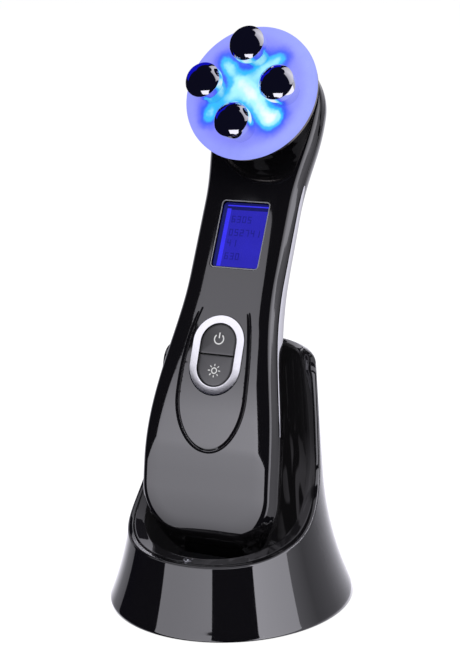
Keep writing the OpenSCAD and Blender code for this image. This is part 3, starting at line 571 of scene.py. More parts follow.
def edgeRings(a0):
    # over the rounded edge, down the side, round the parting line and back up inside the wall
    depth, r, turn = shell["rollDepth"], shell["edgeR"], shell["partRound"]
    crease, end = shell["creaseDepth"], shell["partDepth"] - shell["partGap"]
    a1 = math.radians(shell["edgeTurn"])

    def onEdge(a):
        return edgeOff + r * (math.sin(a) - math.sin(a0)), depth + r * (math.cos(a0) - math.cos(a))

    rings = [faceRing(*onEdge(a0 + (a1 - a0) * k / 10)) for k in range(11)]
    offTop, depthTop = onEdge(a1)
    offCrease = offTop + (crease - depthTop) / math.tan(a1)
    for t in (0.3, 0.6, 0.94):
        rings.append(faceRing(offTop + (offCrease - offTop) * t, depthTop + (crease - depthTop) * t))
    for t in (0.06, 0.4, 0.7, 1.0):
        rings.append(faceRing(offCrease + (partOff - offCrease) * t, crease + (end - turn - crease) * t))
    for a in quarter(4, 1):
        rings.append(faceRing(partOff - turn * (1 - math.cos(a)), end - turn + turn * math.sin(a)))
    rings.append(faceRing(partOff, end, shell["wall"]))
    for inwards, back in shell["inside"]:
        rings.append(faceRing(edgeOff - inwards, shell["wall"] + back))
    return rings


def buildEdge():
    rings = edgeRings(math.atan(rollSlope))
    verts, faces = grid(rings, flip=True)
    # normals by differences along and across the rings, turned outwards
    normals = []
    n = len(outline)
    for k, ring in enumerate(rings):
        before, after = rings[max(0, k - 1)], rings[min(len(rings) - 1, k + 1)]
        for i, away in enumerate(outward):
            if k == 0:
                normals.append((away.x * rollSlope, -1.0, away.y * rollSlope - faceSlope(ring[i][2])))
                continue
            sweep = Vector(ring[(i + 1) % n]) - Vector(ring[i - 1])
            v = sweep.cross(Vector(after[i]) - Vector(before[i]))
            if v.length < 1e-9:
                v = Vector((0, -1, 0))
            v.normalize()
            outside = v.dot(Vector((away.x, -0.5, away.y))) > 0 or k > len(rings) - 5
            normals.append(tuple(v if outside else -v))
    return verts, faces, normals


def between(a, b, m):
    # faces between two closed loops of m vertices that start at a and b
    return [(a + i, a + (i + 1) % m, b + (i + 1) % m, b + i) for i in range(m)]


def wallOf(loop, depth, ledge):
    # wall of an opening, from the face back by a depth, with a ledge inwards at its foot
    m = len(loop)
    cx = sum(p[0] for p in loop) / m
    cz = sum(p[1] for p in loop) / m
    inward = [Vector((cx - x, 0, cz - z)).normalized() for x, z in loop]
    front = [(x, faceDepth(x, z), z) for x, z in loop]
    back = [(x, y + depth, z) for x, y, z in front]
    verts, faces, normals = front + back, between(0, m, m), inward * 2
    if ledge:
        verts += [(x + v.x * ledge, y, z + v.z * ledge) for (x, y, z), v in zip(back, inward)] + back
        faces += between(3 * m, 2 * m, m)
        normals += [(0, -1, 0)] * 2 * m
    return verts, faces, normals


def buildFrontShell():
    verts, faces, normals = buildFace()
    windowWall = wallOf(windowOpening(), shell["windowWall"], shell["windowLedge"])
    ringWall = wallOf(ringOpening(), shell["ringWall"], 0)
    for moreVerts, moreFaces, moreNormals in (buildEdge(), windowWall, ringWall):
        start = len(verts)
        verts = verts + moreVerts
        faces = faces + [tuple(start + i for i in f) for f in moreFaces]
        normals = normals + moreNormals
    makePiece("frontShell", "handset", pianoBlack, handset, verts, faces, normals,
              replaced=["front_shell"])


def buildRearShell():
    turn = shell["partRound"]
    start = shell["partDepth"] + shell["partGap"]
    rings = [faceRing(partOff, start, shell["wall"])]
    for a in reversed(quarter(4)):
        rings.append(faceRing(partOff - turn * (1 - math.cos(a)), start + turn - turn * math.sin(a)))
    rings += [backRing(math.pi / 2 * (k / 60) ** 1.15) for k in range(61)]
    verts, faces = grid(rings, flip=True)
    piece = makePiece("rearShell", "handset", pianoBlack, handset, verts, faces,
                      replaced=["rear_shell"])
    weld(piece)


buildFrontShell()
buildRearShell()
print("housing ready")

strip = {"topGap": 27.3, "lowGap": 37.2, "w": 6, "endW": 0.5, "taper": 0.8, "proud": 0.2, "round": 0.14,
         "deep": 1.0, "gap": 0.08}


def sideX(z, depth):
    t = max(0.0, (depth - shell["maxDepth"]) / (thick(z) - shell["maxDepth"]))
    return (halfW(z) + shell["bulge"]) * (1 - t ** shell["power"]) ** (1 / shell["power"])


def stripSection(w):
    # section of the flat band with rounded edges: (distance back from its front edge, height over the side)
    r = min(strip["round"], w * 0.3)
    section = [(0.0, -strip["deep"]), (0.0, -r)]
    for a in quarter(4, 1):
        section.append((r * (1 - math.cos(a)), -r + r * math.sin(a)))
    for k in range(1, 9):
        section.append((r + (w - 2 * r) * k / 9, 0.0))
    for a in quarter(4):
        section.append((w - r + r * math.sin(a), -r + r * math.cos(a)))
    return section + [(w, -strip["deep"])]


def buildStrip(side, name, node):
    top = shell["neckLen"] - strip["topGap"]
    low = -(shell["gripLen"] - strip["lowGap"])
    start = shell["partDepth"] + strip["gap"]
    rows = []
    for i in range(121):
        t = i / 120
        z = low + (top - low) * t
        w = strip["w"] * math.sin(math.pi * t) ** strip["taper"] + strip["endW"]
        rows.append([(side * (sideX(z, start + d) + strip["proud"] + lift), faceY(z) + start + d, z)
                     for d, lift in stripSection(w)])
    verts, faces = grid(rows, closed=True, flip=side < 0)
    piece = makePiece(name, "handset", brightMetal, handset, verts, faces, replaced=[node])
    weld(piece)


buildStrip(1, "sideStripRight", "side_strip_right")
buildStrip(-1, "sideStripLeft", "side_strip_left")
print("strips ready")

head = {"collarH": 9.4, "trimH": 2.8, "lensR": 24.8, "lensT": 2.2, "lensEdge": 0.9,
        "collar": [(15, 0.1), (18.2, 0.1), (19.0, 2.5), (20.3, 5), (21.4, 7.2)], "collarR": 22.8, "bore": 21,
        "trimIn": 0.5, "trimSlope": 0.9,
        "electrodeR": 6.5, "domeR": 7.3, "out": 14.1, "domeH": 9.9, "side": 3.1, "rim": 0.5}
headFrame = handset @ Matrix.Translation((0, 0, shell["neckLen"])) @ Matrix.Rotation(math.radians(90), 4, "X")
lensBack = head["collarH"] + head["trimH"]
lensFront = lensBack + head["lensT"]


def lensMaterial():
    # frosted plastic lit from behind: bright spots over the lamps, fading to an even blue violet
    m, tree = newMaterial("frosted lens")
    point = objectPoint(tree)
    # flat coordinates on the lens in millimetres, shaken a little so that the spots aren't quite round
    centre = headFrame @ Vector((0, 0, lensFront)) * mm
    shift = addNode(tree, "VectorMath", {0: point, 1: centre}, operation="SUBTRACT").outputs[0]
    inverse = headFrame.to_3x3().transposed()
    axes = []
    for k in (0, 1):
        dot = addNode(tree, "VectorMath", {0: shift, 1: Vector(inverse[k]) * 1000}, operation="DOT_PRODUCT")
        axes.append(dot.outputs["Value"])
    flat = addNode(tree, "CombineXYZ", {"X": axes[0], "Y": axes[1]}).outputs[0]
    shake, reach = lensGlow["shake"], lensGlow["reach"]
    noise = addNode(tree, "TexNoise", {"Vector": flat, "Scale": lensGlow["cloud"], "Detail": 2.0})
    far = addNode(tree, "VectorMath", {0: noise.outputs["Color"], "Scale": reach}, operation="SCALE")
    mix = addNode(tree, "Mix", {"Factor": shake, "A": flat, "B": far.outputs[0]}, data_type="VECTOR")
    shaken = mix.outputs["Result"]
    mean = shake * reach / 2
    total = None
    for x, y, size, power in lampSpots:
        spot = ((1 - shake) * x + mean, (1 - shake) * y + mean, 0)
        far = addNode(tree, "VectorMath", {0: shaken, 1: spot}, operation="DISTANCE").outputs["Value"]
        square = calc(tree, "POWER", calc(tree, "DIVIDE", far, size), 2.0)
        bell = calc(tree, "EXPONENT", calc(tree, "MULTIPLY", square, -1.0))
        glow = calc(tree, "MULTIPLY", bell, power)
        total = glow if total is None else calc(tree, "ADD", total, glow)
    ramp = addNode(tree, "ValToRGB", {"Fac": total})
    ramp.color_ramp.interpolation = "EASE"
    stops = ramp.color_ramp.elements
    stops[0].position, stops[0].color = 0.0, (*lensGlow["edge"], 1)
    stops[1].position, stops[1].color = 1.0, (*lensGlow["core"], 1)
    for position, colour in ((0.16, "mid"), (0.36, "blue"), (0.58, "cyan"), (0.8, "pale")):
        stops.new(position).color = (*lensGlow[colour], 1)
    grain = remap(tree, noiseAt(tree, point, 260.0, 4.0, {"Roughness": 0.55}), 0.3, 0.7, 0.97, 1.03)
    strength = calc(tree, "MULTIPLY", grain, lensGlow["strength"])
    # paler towards the rim and the right side, away from the spots
    fromMiddle = addNode(tree, "VectorMath", {0: flat}, operation="LENGTH").outputs["Value"]
    rim = remap(tree, fromMiddle, *lensGlow["rimBand"], "SMOOTHSTEP")
    side = remap(tree, axes[0], *lensGlow["sideBand"], "SMOOTHSTEP")
    away = remap(tree, total, *lensGlow["spotBand"], "SMOOTHSTEP")
    share = calc(tree, "MULTIPLY", calc(tree, "ADD", rim, side), away)
    values = {"Factor": share, "A": ramp.outputs["Color"], "B": (*lensGlow["rim"], 1)}
    paler = addNode(tree, "Mix", values, data_type="RGBA").outputs["Result"]
    shader = addNode(tree, "BsdfPrincipled", {"Base Color": (0.05, 0.05, 0.1, 1), "Roughness": 0.35,
                                              "Emission Color": paler, "Emission Strength": strength})
    addNode(tree, "OutputMaterial", {"Surface": shader.outputs["BSDF"]})
    return m


# bright spots on the lens, over the lamps: x, y, spread, power
lampSpots = [
    (0, 0, 10.5, 0.4), (-9.3, 8.4, 3.4, 0.62), (-4.3, 3.4, 3.9, 0.52), (1.0, -1.0, 3.9, 0.5),
    (5.2, -6.2, 3.7, 0.45), (9.6, -10.2, 4.2, 0.85), (13.0, -8.0, 3.0, 0.35), (2.5, 7.6, 3.9, 0.42),
    (6.5, 11.2, 3.8, 0.5), (10.2, 13, 3.0, 0.4), (-12.3, 11.6, 2.8, 0.45), (-13.9, -7, 3.5, 0.5),
    (-14.0, -10.8, 3.0, 0.42), (-8.0, -3.0, 4.2, 0.45), (5.6, -3.2, 3.4, 0.15),
]
lensGlow = {"edge": (0.225, 0.235, 0.96), "mid": (0.13, 0.16, 1.0), "blue": (0.04, 0.12, 1.0),
            "cyan": (0.03, 0.52, 1.0), "pale": (0.42, 0.95, 1.0), "core": (0.95, 1.0, 1.0),
            "rim": (0.33, 0.385, 0.98), "strength": 0.98, "cloud": 0.35, "shake": 0.07, "reach": 26.0,
            "rimBand": (18.5, 23.0, 0.0, 0.45), "sideBand": (-14.0, 24.0, 0.1, 0.55),
            "spotBand": (0.0, 0.25, 1.0, 0.0)}


def turned(name, slot, material, profile, steps, node, centre=(0, 0)):
    # one turned piece of the head
    verts, faces = lathe(profile, steps, centre)
    return makePiece(name, "handset", material, headFrame, verts, faces, replaced=[node])


def buildHead():
    c, r, bore = head["collarH"], head["lensR"], head["bore"]
    collar = rounded(head["collar"] + [(head["collarR"], c), (bore, c)], [0, 0.4, 3, 6, 4, 0.3, 0], 6)
    turned("headCollar", "gloss_black", pianoBlack, collar, 200, "head_collar")
    trimR, slope = r - head["trimIn"], head["trimSlope"]
    trim = rounded([(bore, c), (trimR - slope, c), (trimR, c + slope), (trimR, lensBack), (bore, lensBack)],
                   [0, 0.3, 0.3, 0.15, 0], 5)
    turned("trimRing", "gunmetal", gunMetal, trim, 200, "trim_ring")
    lens = rounded([(0.001, lensBack), (r - 0.15, lensBack), (r, lensBack + 0.15), (r, lensFront),
                    (0.001, lensFront)], [0, 0.1, 0.1, head["lensEdge"], 0], 8)
    weld(turned("headLens", "frosted_lens", lensMaterial(), lens, 240, "head_lens"))
    wide, domeR, edge = head["electrodeR"], head["domeR"], lensFront + head["domeH"]
    mid = edge - math.sqrt(domeR * domeR - wide * wide)
    opening = math.asin(wide / domeR)
    cap = [(domeR * math.sin(opening * k / 24), mid + domeR * math.cos(opening * k / 24))
           for k in range(24, -1, -1)]
    cap[-1] = (0.001, mid + domeR)
    side = edge - head["side"]
    base = [(0.001, lensFront), (wide - 1.5, lensFront), (wide - 1.3, lensFront + 1.5),
            (wide - 0.9, side - 1.4), (wide, side), (wide, edge), cap[3]]
    profile = rounded(base, [0, 0.1, 2.5, 1.6, 1.4, head["rim"], 0], 8)[:-1] + cap[3:]
    for i, name in ((1, "top"), (0, "right"), (3, "bottom"), (2, "left")):
        a = math.pi / 2 * i
        weld(turned("electrode" + name.capitalize(), "electrode_chrome", electrodeChrome, profile, 128,
                    "electrode_" + name, (head["out"] * math.cos(a), head["out"] * math.sin(a))))


buildHead()
print("head ready")

button = {"ringProud": 0.3, "ringRound": 0.14, "ringDeep": 2.4, "buttonProud": 0.1, "buttonRound": 0.4,
          "buttonDeep": 4.0, "crown": 0.06, "crownZ": 6.0, "gap": 0.22, "split": 0.7, "corner": 0.35}


def onFace(x, z, proud):
    # a point of the button frame, lying proud of the bent face
    r = shell["bendR"] + proud
    return (x, shell["bendR"] - math.sqrt(r * r - z * z), z)


def buildRing():
    w, tall, band = keys["ringW"], keys["ringH"], keys["band"]
    rnd, proud, deep = button["ringRound"], button["ringProud"], button["ringDeep"]
    # section of the ring: (distance outwards from its outer edge, height over the face)
    section = [(0, -deep), (0, proud - rnd)]
    for a in quarter(5, 1):
        section.append((-rnd * (1 - math.cos(a)), proud - rnd + rnd * math.sin(a)))
    for k in range(1, 6):
        s = k / 6
        section.append((-rnd - (band - 2 * rnd) * s, proud + 0.03 * math.sin(math.pi * s)))
    for a in quarter(5):
        section.append((-band + rnd - rnd * math.sin(a), proud - rnd + rnd * math.cos(a)))
    section.append((-band, -deep))
    rows = []
    for off, lift in section:
        rows.append([onFace(x, z, lift) for x, z in stadiumLoop(w + 2 * off, tall + 2 * off, 48)])
    verts, faces = grid(rows + rows[:1], flip=True)
    piece = makePiece("buttonRing", "handset", silverRing, buttonFrame, verts, faces,
                      replaced=["button_ring"])
    weld(piece)


def halfLoop(side, shrink, n=30):
    # outline of one button: half of the inner stadium, with rounded corners at the split
    w = keys["ringW"] - 2 * keys["band"] - 2 * button["gap"] - 2 * shrink
    tall = keys["ringH"] - 2 * keys["band"] - 2 * button["gap"] - 2 * shrink
    r = w / 2
    low = button["gap"] * button["split"] + shrink
    c = button["corner"]
    middle = (low + c + tall / 2 - r) / 2
    pts = [(r - c + c * math.sin(a), low + c - c * math.cos(a)) for a in quarter(4)]
    pts.append((r, middle))
    for k in range(n + 1):
        a = math.pi * k / n
        pts.append((r * math.cos(a), tall / 2 - r + r * math.sin(a)))
    pts.append((-r, middle))
    pts += [(-r + c - c * math.cos(a), low + c - c * math.sin(a)) for a in quarter(4)]
    return pts if side > 0 else [(x, -z) for x, z in pts]


def crownLift(t):
    # height over the bent face, t of the way from a button's edge to its crown
    return button["buttonProud"] + button["crown"] * (1 - (1 - t) ** 2)


def buildButton(side, name, body, node):
    proud, rnd = button["buttonProud"], button["buttonRound"]
    rows = [[onFace(x, z, -button["buttonDeep"]) for x, z in halfLoop(side, 0)]]
    for a in quarter(5):
        loop = halfLoop(side, rnd * (1 - math.cos(a)))
        rows.append([onFace(x, z, proud - rnd + rnd * math.sin(a)) for x, z in loop])
    # a slight crown over the middle
    inner = halfLoop(side, rnd)
    top = side * button["crownZ"]
    for k in range(1, 13):
        t = k / 12
        rows.append([onFace(x - x * t, z + (top - z) * t, crownLift(t)) for x, z in inner])
    verts, faces = grid(rows, flip=side > 0)
    piece = makePiece(name, body, buttonBlack, buttonFrame, verts, faces, replaced=[node])
    weld(piece)


def markLine(points, width, closed=False):
    # a thin flat line of a printed mark, as quads in (x, z)
    n = len(points)
    left, other = [], []
    for i in range(n):
        a = points[i - 1] if closed or i else points[i]
        b = points[(i + 1) % n] if closed or i < n - 1 else points[i]
        d = Vector((b[0] - a[0], b[1] - a[1])).normalized()
        left.append((points[i][0] - d.y * width / 2, points[i][1] + d.x * width / 2))
        other.append((points[i][0] + d.y * width / 2, points[i][1] - d.x * width / 2))
    quads = []
    for i in range(n if closed else n - 1):
        j = (i + 1) % n
        quads.append((left[i], left[j], other[j], other[i]))
    return quads


def liftAt(side, x, z):
    # height of a button's crown over the bent face at a point
    inner = halfLoop(side, button["buttonRound"])
    mid = Vector((0.0, side * button["crownZ"]))
    d = Vector((x, z)) - mid
    if d.length < 1e-6:
        return crownLift(1)
    best = 1.0
    for i in range(len(inner)):
        a, b = Vector(inner[i]), Vector(inner[(i + 1) % len(inner)])
        e = b - a
        det = d.x * -e.y + d.y * e.x
        if abs(det) < 1e-9:
            continue
        s = ((a.x - mid.x) * -e.y + (a.y - mid.y) * e.x) / det
        u = (d.x * (a.y - mid.y) - d.y * (a.x - mid.x)) / det
        if s > 0 and -1e-6 <= u <= 1 + 1e-6:
            best = min(best, max(0.0, 1 - 1 / s)) if s >= 1 else 0.0
    return crownLift(best)


marks = {"proud": 0.03, "w": 0.45, "powerZ": 5.6, "powerR": 1.75, "bar": (0.3, 1.3, 2.3),
         "lampZ": -5.6, "lampR": 0.95, "ray": (1.6, 2.35)}


def buildMark(side, name, body, quads):
    verts = [onFace(x, z, liftAt(side, x, z) + marks["proud"]) for quad in quads for x, z in quad]
    faces = [tuple(range(start, start + 4)) for start in range(0, len(verts), 4)]
    makePiece(name, body, markWhite, buttonFrame, verts, faces, smooth=False)


def powerMark():
    z, r = marks["powerZ"], marks["powerR"]
    arc = [(r * math.sin(a), z + r * math.cos(a)) for a in map(math.radians, range(38, 323, 8))]
    return markLine(arc, marks["w"]) + markLine([(0.0, z + up) for up in marks["bar"]], marks["w"])


def lampMark():
    z, r = marks["lampZ"], marks["lampR"]
    circle = [(r * math.cos(a), z + r * math.sin(a)) for a in map(math.radians, range(0, 360, 15))]
    quads = markLine(circle, marks["w"] * 0.9, closed=True)
    for a in map(math.radians, range(0, 360, 45)):
        c, s = math.cos(a), math.sin(a)
        quads += markLine([(out * c, z + out * s) for out in marks["ray"]], marks["w"] * 0.8)
    return quads


buildRing()
buildButton(1, "powerButton", "power", "power_button")
buildButton(-1, "selectButton", "select", "select_button")
buildMark(1, "powerMark", "power", powerMark())
buildMark(-1, "lampMark", "select", lampMark())
print("buttons ready")

display = {"sink": 0.2, "glassT": 1.0, "panelDepth": 2.3, "panelT": 1.8, "corner": 1.5, "frameW": 0.42,
           "stroke": 0.34}


def glassMaterial():
    m, tree = newMaterial("display glass")
    noise = noiseAt(tree, objectPoint(tree), 120.0, 4.0)
    clear = addNode(tree, "BsdfTransparent", {"Color": (0.93, 0.94, 1.0, 1)})
    gloss = addNode(tree, "BsdfGlossy", {"Roughness": remap(tree, noise, 0.0, 1.0, 0.02, 0.06)})
    fresnel = addNode(tree, "Fresnel", {"IOR": 1.46})
    mix = addNode(tree, "MixShader", {"Fac": fresnel.outputs[0], 1: clear.outputs[0], 2: gloss.outputs[0]})
    addNode(tree, "OutputMaterial", {"Surface": mix.outputs[0]})
    return m


def glowMaterial(name, colour):
    # a lit or dim part of the display
    m, tree = newMaterial(name)
    noise = noiseAt(tree, objectPoint(tree), 160.0, 3.0)
    values = {"Base Color": (0.01, 0.01, 0.05, 1), "Roughness": 0.3, "Emission Color": (*colour, 1),
              "Emission Strength": remap(tree, noise, 0.25, 0.75, 0.93, 1.07)}
    shader = addNode(tree, "BsdfPrincipled", values)
    addNode(tree, "OutputMaterial", {"Surface": shader.outputs["BSDF"]})
    return m


def slab(w, tall, r, y0, y1, cx, cz, edge):
    # a rounded plate between depths y0 (front) and y1, with softened edges
    rows = []
    for a in quarter(4):
        s = edge * (1 - math.sin(a))
        rows.append([(cx + x, y0 + edge * (1 - math.cos(a)), cz + z) for x, z in
                     roundRect(w - 2 * s, tall - 2 * s, max(0.05, r - s))])
    rows.append([(cx + x, y1, cz + z) for x, z in roundRect(w, tall, r)])
    verts, faces = grid(rows)
    n = len(rows[0])
    faces.append(tuple(range(n - 1, -1, -1)))
    last = (len(rows) - 1) * n
    faces.append(tuple(range(last, last + n)))
    return verts, faces


def sheet(name, material, boxes, lift):
    # thin lit areas just over the panel, given as (x0, z0, x1, z1)
    verts, faces = [], []
    for x0, z0, x1, z1 in boxes:
        faces.append(tuple(range(len(verts), len(verts) + 4)))
        for x, z in ((x0, z0), (x1, z0), (x1, z1), (x0, z1)):
            verts.append((x + window["x"], display["panelDepth"] - lift, z + window["z"]))
    makePiece(name, "handset", material, handset, verts, faces, smooth=False)


def plate(name, material, size, node):
    verts, faces = slab(*size)
    piece = makePiece(name, "handset", material, handset, verts, faces, replaced=[node])
    weld(piece)
    flatCaps(piece)


def buildDisplay():
    sink, depth = display["sink"], display["panelDepth"]
    w, tall, x0, z0 = window["w"], window["h"], window["x"], window["z"]
    plate("displayGlass", glassMaterial(),
          (w, tall, display["corner"], sink, sink + display["glassT"], x0, z0, 0.25), "lcd_window")
    plate("displayPanel", glowMaterial("display frame", (0.012, 0.012, 0.12)),
          (w + 1, tall + 2, 0.8, depth, depth + display["panelT"], x0, z0, 0.1), "lcd_panel")
    sheet("displayField", glowMaterial("display blue", look["lcd"]), [(-6.9, -11.4, 8.4, 9.6)], 0.04)
    sheet("displayEdgeLight", glowMaterial("display edge light", (0.055, 0.045, 1.0)),
          [(-7.9, -11.4, -6.3, 10.0), (-7.9, 10.9, 8.4, 11.35)], 0.08)
    sheet("displaySideLines", glowMaterial("display side lines", (0.02, 0.03, 0.14)),
          [(-8.95, -11.4, -8.75, 11), (-8.4, -11.4, -8.25, 11)], 0.06)
    # generic digits, dim as on an unlit mask
    boxes = []
    for row, count in ((4.9, 4), (0.0, 6), (-4.0, 2), (-8.8, 3)):
        for k in range(count):
            boxes += segments(k * 2.1 - 5.4, row, 1.4, 2.5, (k * 5 + int(row * 3)) % 8)
    sheet("displaySegments", glowMaterial("display segments", (0.016, 0.015, 0.25)), boxes, 0.12)
    # narrow polished edge round the window
    frameW = display["frameW"]
    rows = []
    for inset, y in ((0.0, 0.25), (0.0, 0.05), (0.08, -0.03), (frameW - 0.1, -0.03), (frameW, 0.02),
                     (frameW, 0.25)):
        loop = roundRect(w - 2 * inset, tall - 2 * inset, display["corner"] - inset)
        rows.append([(x + x0, sink + y, z + z0) for x, z in loop])
    verts, faces = grid(rows)
    makePiece("displayFrame", "handset", windowEdge, handset, verts, faces)


def segments(x, z, w, tall, digit):
    # the lit strokes of one seven-segment digit at x, z
    table = [0b1111110, 0b0110000, 0b1101101, 0b1111001, 0b0110011, 0b1011011, 0b1011111, 0b1110000]
    t = display["stroke"]
    right, top, m = x + w, z + tall, z + tall / 2
    strokes = [
        (x, top - t, right, top), (right - t, m, right, top), (right - t, z, right, m), (x, z, right, z + t),
        (x, z, x + t, m), (x, m, x + t, top), (x, m - t / 2, right, m + t / 2),
    ]
    return [strokes[i] for i in range(7) if table[digit] >> (6 - i) & 1]


buildDisplay()
print("display ready")

skirt = {
    "baseR": 44, "h": 89, "waistR": 34.3, "waistZ": 45, "flareR": 125, "topR": 32.6, "topEdge": 3.5,
    "rimZ": 24.8, "cupR": 29.6, "cupTopR": 27.15, "cupEdge": 3, "cupCorner": 7, "floorZ": 8,
    "skin": 2, "low": 0.4,
    "levelY": -28, "slope": 17, "steep": 79.3, "steepY": 13.55, "bendR": 32, "topR2": 8,
    "edge": 0.8, "edgeShare": 0.26, "innerEdge": 1.3, "innerShare": 0.4, "softStart": 8,
    "seamAt": 0.32, "seamDeep": 2, "seamGap": 0.1,
}
flareTilt = math.atan((skirt["waistR"] - skirt["topR"]) / (skirt["h"] - skirt["waistZ"]))
flareX = skirt["waistR"] + skirt["flareR"] * math.cos(flareTilt)
flareZ = skirt["waistZ"] + skirt["flareR"] * math.sin(flareTilt)


def outerR(z):
    # radius of the outside of the stand at height z, up to the start of the top rounding
    if z < skirt["waistZ"]:
        return min(skirt["baseR"], flareX - math.sqrt(skirt["flareR"] ** 2 - (flareZ - z) ** 2))
    return skirt["waistR"] - (z - skirt["waistZ"]) * math.tan(flareTilt)


def cupAt(z):
    rise = (z - skirt["rimZ"]) / (skirt["h"] - skirt["rimZ"])
    return skirt["cupR"] + (skirt["cupTopR"] - skirt["cupR"]) * rise


def rimCurve():
    # the rim's side outline as (y, z) points: level, slope, bend, steep edge, round top
    m = math.tan(math.radians(skirt["slope"]))
    n = 1 / math.tan(math.radians(skirt["steep"]))
    ky = (skirt["steepY"] + n * (skirt["rimZ"] - m * skirt["levelY"] - skirt["h"])) / (1 - n * m)
    k = Vector((ky, skirt["rimZ"] + m * (ky - skirt["levelY"])))

    def corner(p, a, b, r):
        u = Vector((math.cos(math.radians(a)), math.sin(math.radians(a))))
        v = Vector((math.cos(math.radians(b)), math.sin(math.radians(b))))
        return p + (u + v).normalized() * r / math.sin(math.acos(u.dot(v)) / 2)

    bend = corner(k, 180 + skirt["slope"], skirt["steep"], skirt["bendR"])
    top = corner(Vector((skirt["steepY"], skirt["h"])), 180 + skirt["steep"], 0, skirt["topR2"])
    pts = [Vector((-60, skirt["rimZ"]))]
    # a soft start of the slope
    soft = skirt["softStart"]
    for t in range(-soft, soft + 1):
        pts.append(Vector((skirt["levelY"] + t, skirt["rimZ"] + m * (t + soft) ** 2 / (4 * soft))))
    for i in range(25):
        a = math.radians(skirt["slope"] - 90 + (skirt["steep"] - skirt["slope"]) * i / 24)
        pts.append(bend + skirt["bendR"] * Vector((math.cos(a), math.sin(a))))
    for i in range(17):
        a = math.radians(skirt["steep"] + 90 - skirt["steep"] * i / 16)
        pts.append(top + skirt["topR2"] * Vector((math.cos(a), math.sin(a))))
    pts.append(Vector((top.x + 0.01, 200)))
    return pts


rimPoints = rimCurve()


def rimHeight(y):
    for i in range(len(rimPoints) - 1):
        a, b = rimPoints[i], rimPoints[i + 1]
        if y <= b.x:
            t = (y - a.x) / (b.x - a.x) if b.x > a.x else 0
            return a.y + (b.y - a.y) * max(0, t)
    return 200.0


def topProfile():
    # outer side up over the top of the wall and down inside, as (r, z), uncut
    low, high, e = skirt["low"], skirt["h"] - skirt["topEdge"], skirt["cupEdge"]
    outer = [(outerR(z), z) for z in [low, low + 0.4] + [1.2 + (high - 1.2) * k / 90 for k in range(91)]]
    mid = Vector((outerR(high) - skirt["topEdge"], high))
    for a in quarter(24, 1):
        outer.append((mid.x + skirt["topEdge"] * math.cos(a), mid.y + skirt["topEdge"] * math.sin(a)))
    inner = []
    mid = Vector((cupAt(skirt["h"] - e) + e, skirt["h"] - e))
    for a in quarter(24):
        inner.append((mid.x - e * math.sin(a), mid.y + e * math.cos(a)))
    bottom = skirt["floorZ"] + skirt["cupCorner"]
    for k in range(1, 61):
        z = skirt["h"] - e + (bottom - skirt["h"] + e) * k / 60
        inner.append((cupAt(z), z))
    foot = cupAt(bottom) - skirt["cupCorner"]
    for a in quarter(16, 1):
        inner.append((foot + skirt["cupCorner"] * math.cos(a), bottom - skirt["cupCorner"] * math.sin(a)))
    # meet of the two roundings at the ridge
    i, j = min(((i, j) for i in range(len(outer) - 26, len(outer)) for j in range(26)),
               key=lambda q: (outer[q[0]][0] - inner[q[1]][0]) ** 2 + (outer[q[0]][1] - inner[q[1]][1]) ** 2)
    ridge = ((outer[i][0] + inner[j][0]) / 2, (outer[i][1] + inner[j][1]) / 2)
    return outer[:i] + [ridge], [ridge] + inner[j + 1:]


outerSide, innerSide = topProfile()


def cutAt(side, sinA):
    # the part of a side profile below the rim, walking up it
    kept = [side[0]]
    for r1, z1 in side[1:]:
        r0, z0 = kept[-1]
        if z1 > rimHeight(r1 * sinA):
            low, high = 0.0, 1.0
            for _ in range(30):
                t = (low + high) / 2
                if z0 + (z1 - z0) * t > rimHeight((r0 + (r1 - r0) * t) * sinA):
                    high = t
                else:
                    low = t
            return kept + [(r0 + (r1 - r0) * low, z0 + (z1 - z0) * low)]
        kept.append((r1, z1))
    return kept


def walked(pts):
    # distances of the points of a polyline from its start
    lengths = [0.0]
    for a, b in zip(pts, pts[1:]):
        lengths.append(lengths[-1] + math.dist(a, b))
    return lengths


def along(pts, wanted, values=None):
    # points of a polyline at given distances from its start, or what its points stand for
    lengths = walked(pts)
    values = values or pts
    out = []
    i = 0
    for w in wanted:
        w = max(0.0, min(lengths[-1], w))
        while i < len(lengths) - 2 and lengths[i + 1] < w:
            i += 1
        span = lengths[i + 1] - lengths[i]
        t = (w - lengths[i]) / span if span else 0
        out.append(tuple(a + (b - a) * t for a, b in zip(values[i], values[i + 1])))
    return out


def pathLength(pts):
    return walked(pts)[-1]


def roundOver(a, corner, b, steps=7):
    # a soft turn from a to b, touching both lines that meet at the corner
    return [tuple((1 - t) ** 2 * a[i] + 2 * t * (1 - t) * corner[i] + t * t * b[i] for i in (0, 1))
            for t in (k / steps for k in range(steps + 1))]


def azimuths():
    # angles round the stand, closer together where the rim climbs
    fine = [math.radians(-90 + 180 * k / 720) for k in range(721)]
    rim = []
    for a in fine:
        r, z = cutAt(outerSide, math.sin(a))[-1]
        rim.append((r * math.cos(a), r * math.sin(a), z))
    total = pathLength(rim)
    steps = 200
    right = [a for a, in along(rim, [total * k / steps for k in range(steps + 1)], [(a,) for a in fine])]
    return right + [math.pi - a for a in right[-2:0:-1]]


# painted light in the cup: base is an even painted glow that lifts the black in its shade, soft is the glow
# of the patches of painted reflection, and the rest set where the patches lie and how big they are
cupPaintedLight = {"base": 0.0035, "tint": (0.94, 0.9, 1.0, 1), "soft": 0.03, "from": 0.5, "to": 0.6,
           "size": (150, 60, 34), "shift": (0.3, 0.2, 0.6), "low": 0.042, "high": 0.062,
           "left": 0.004, "right": 0.014}


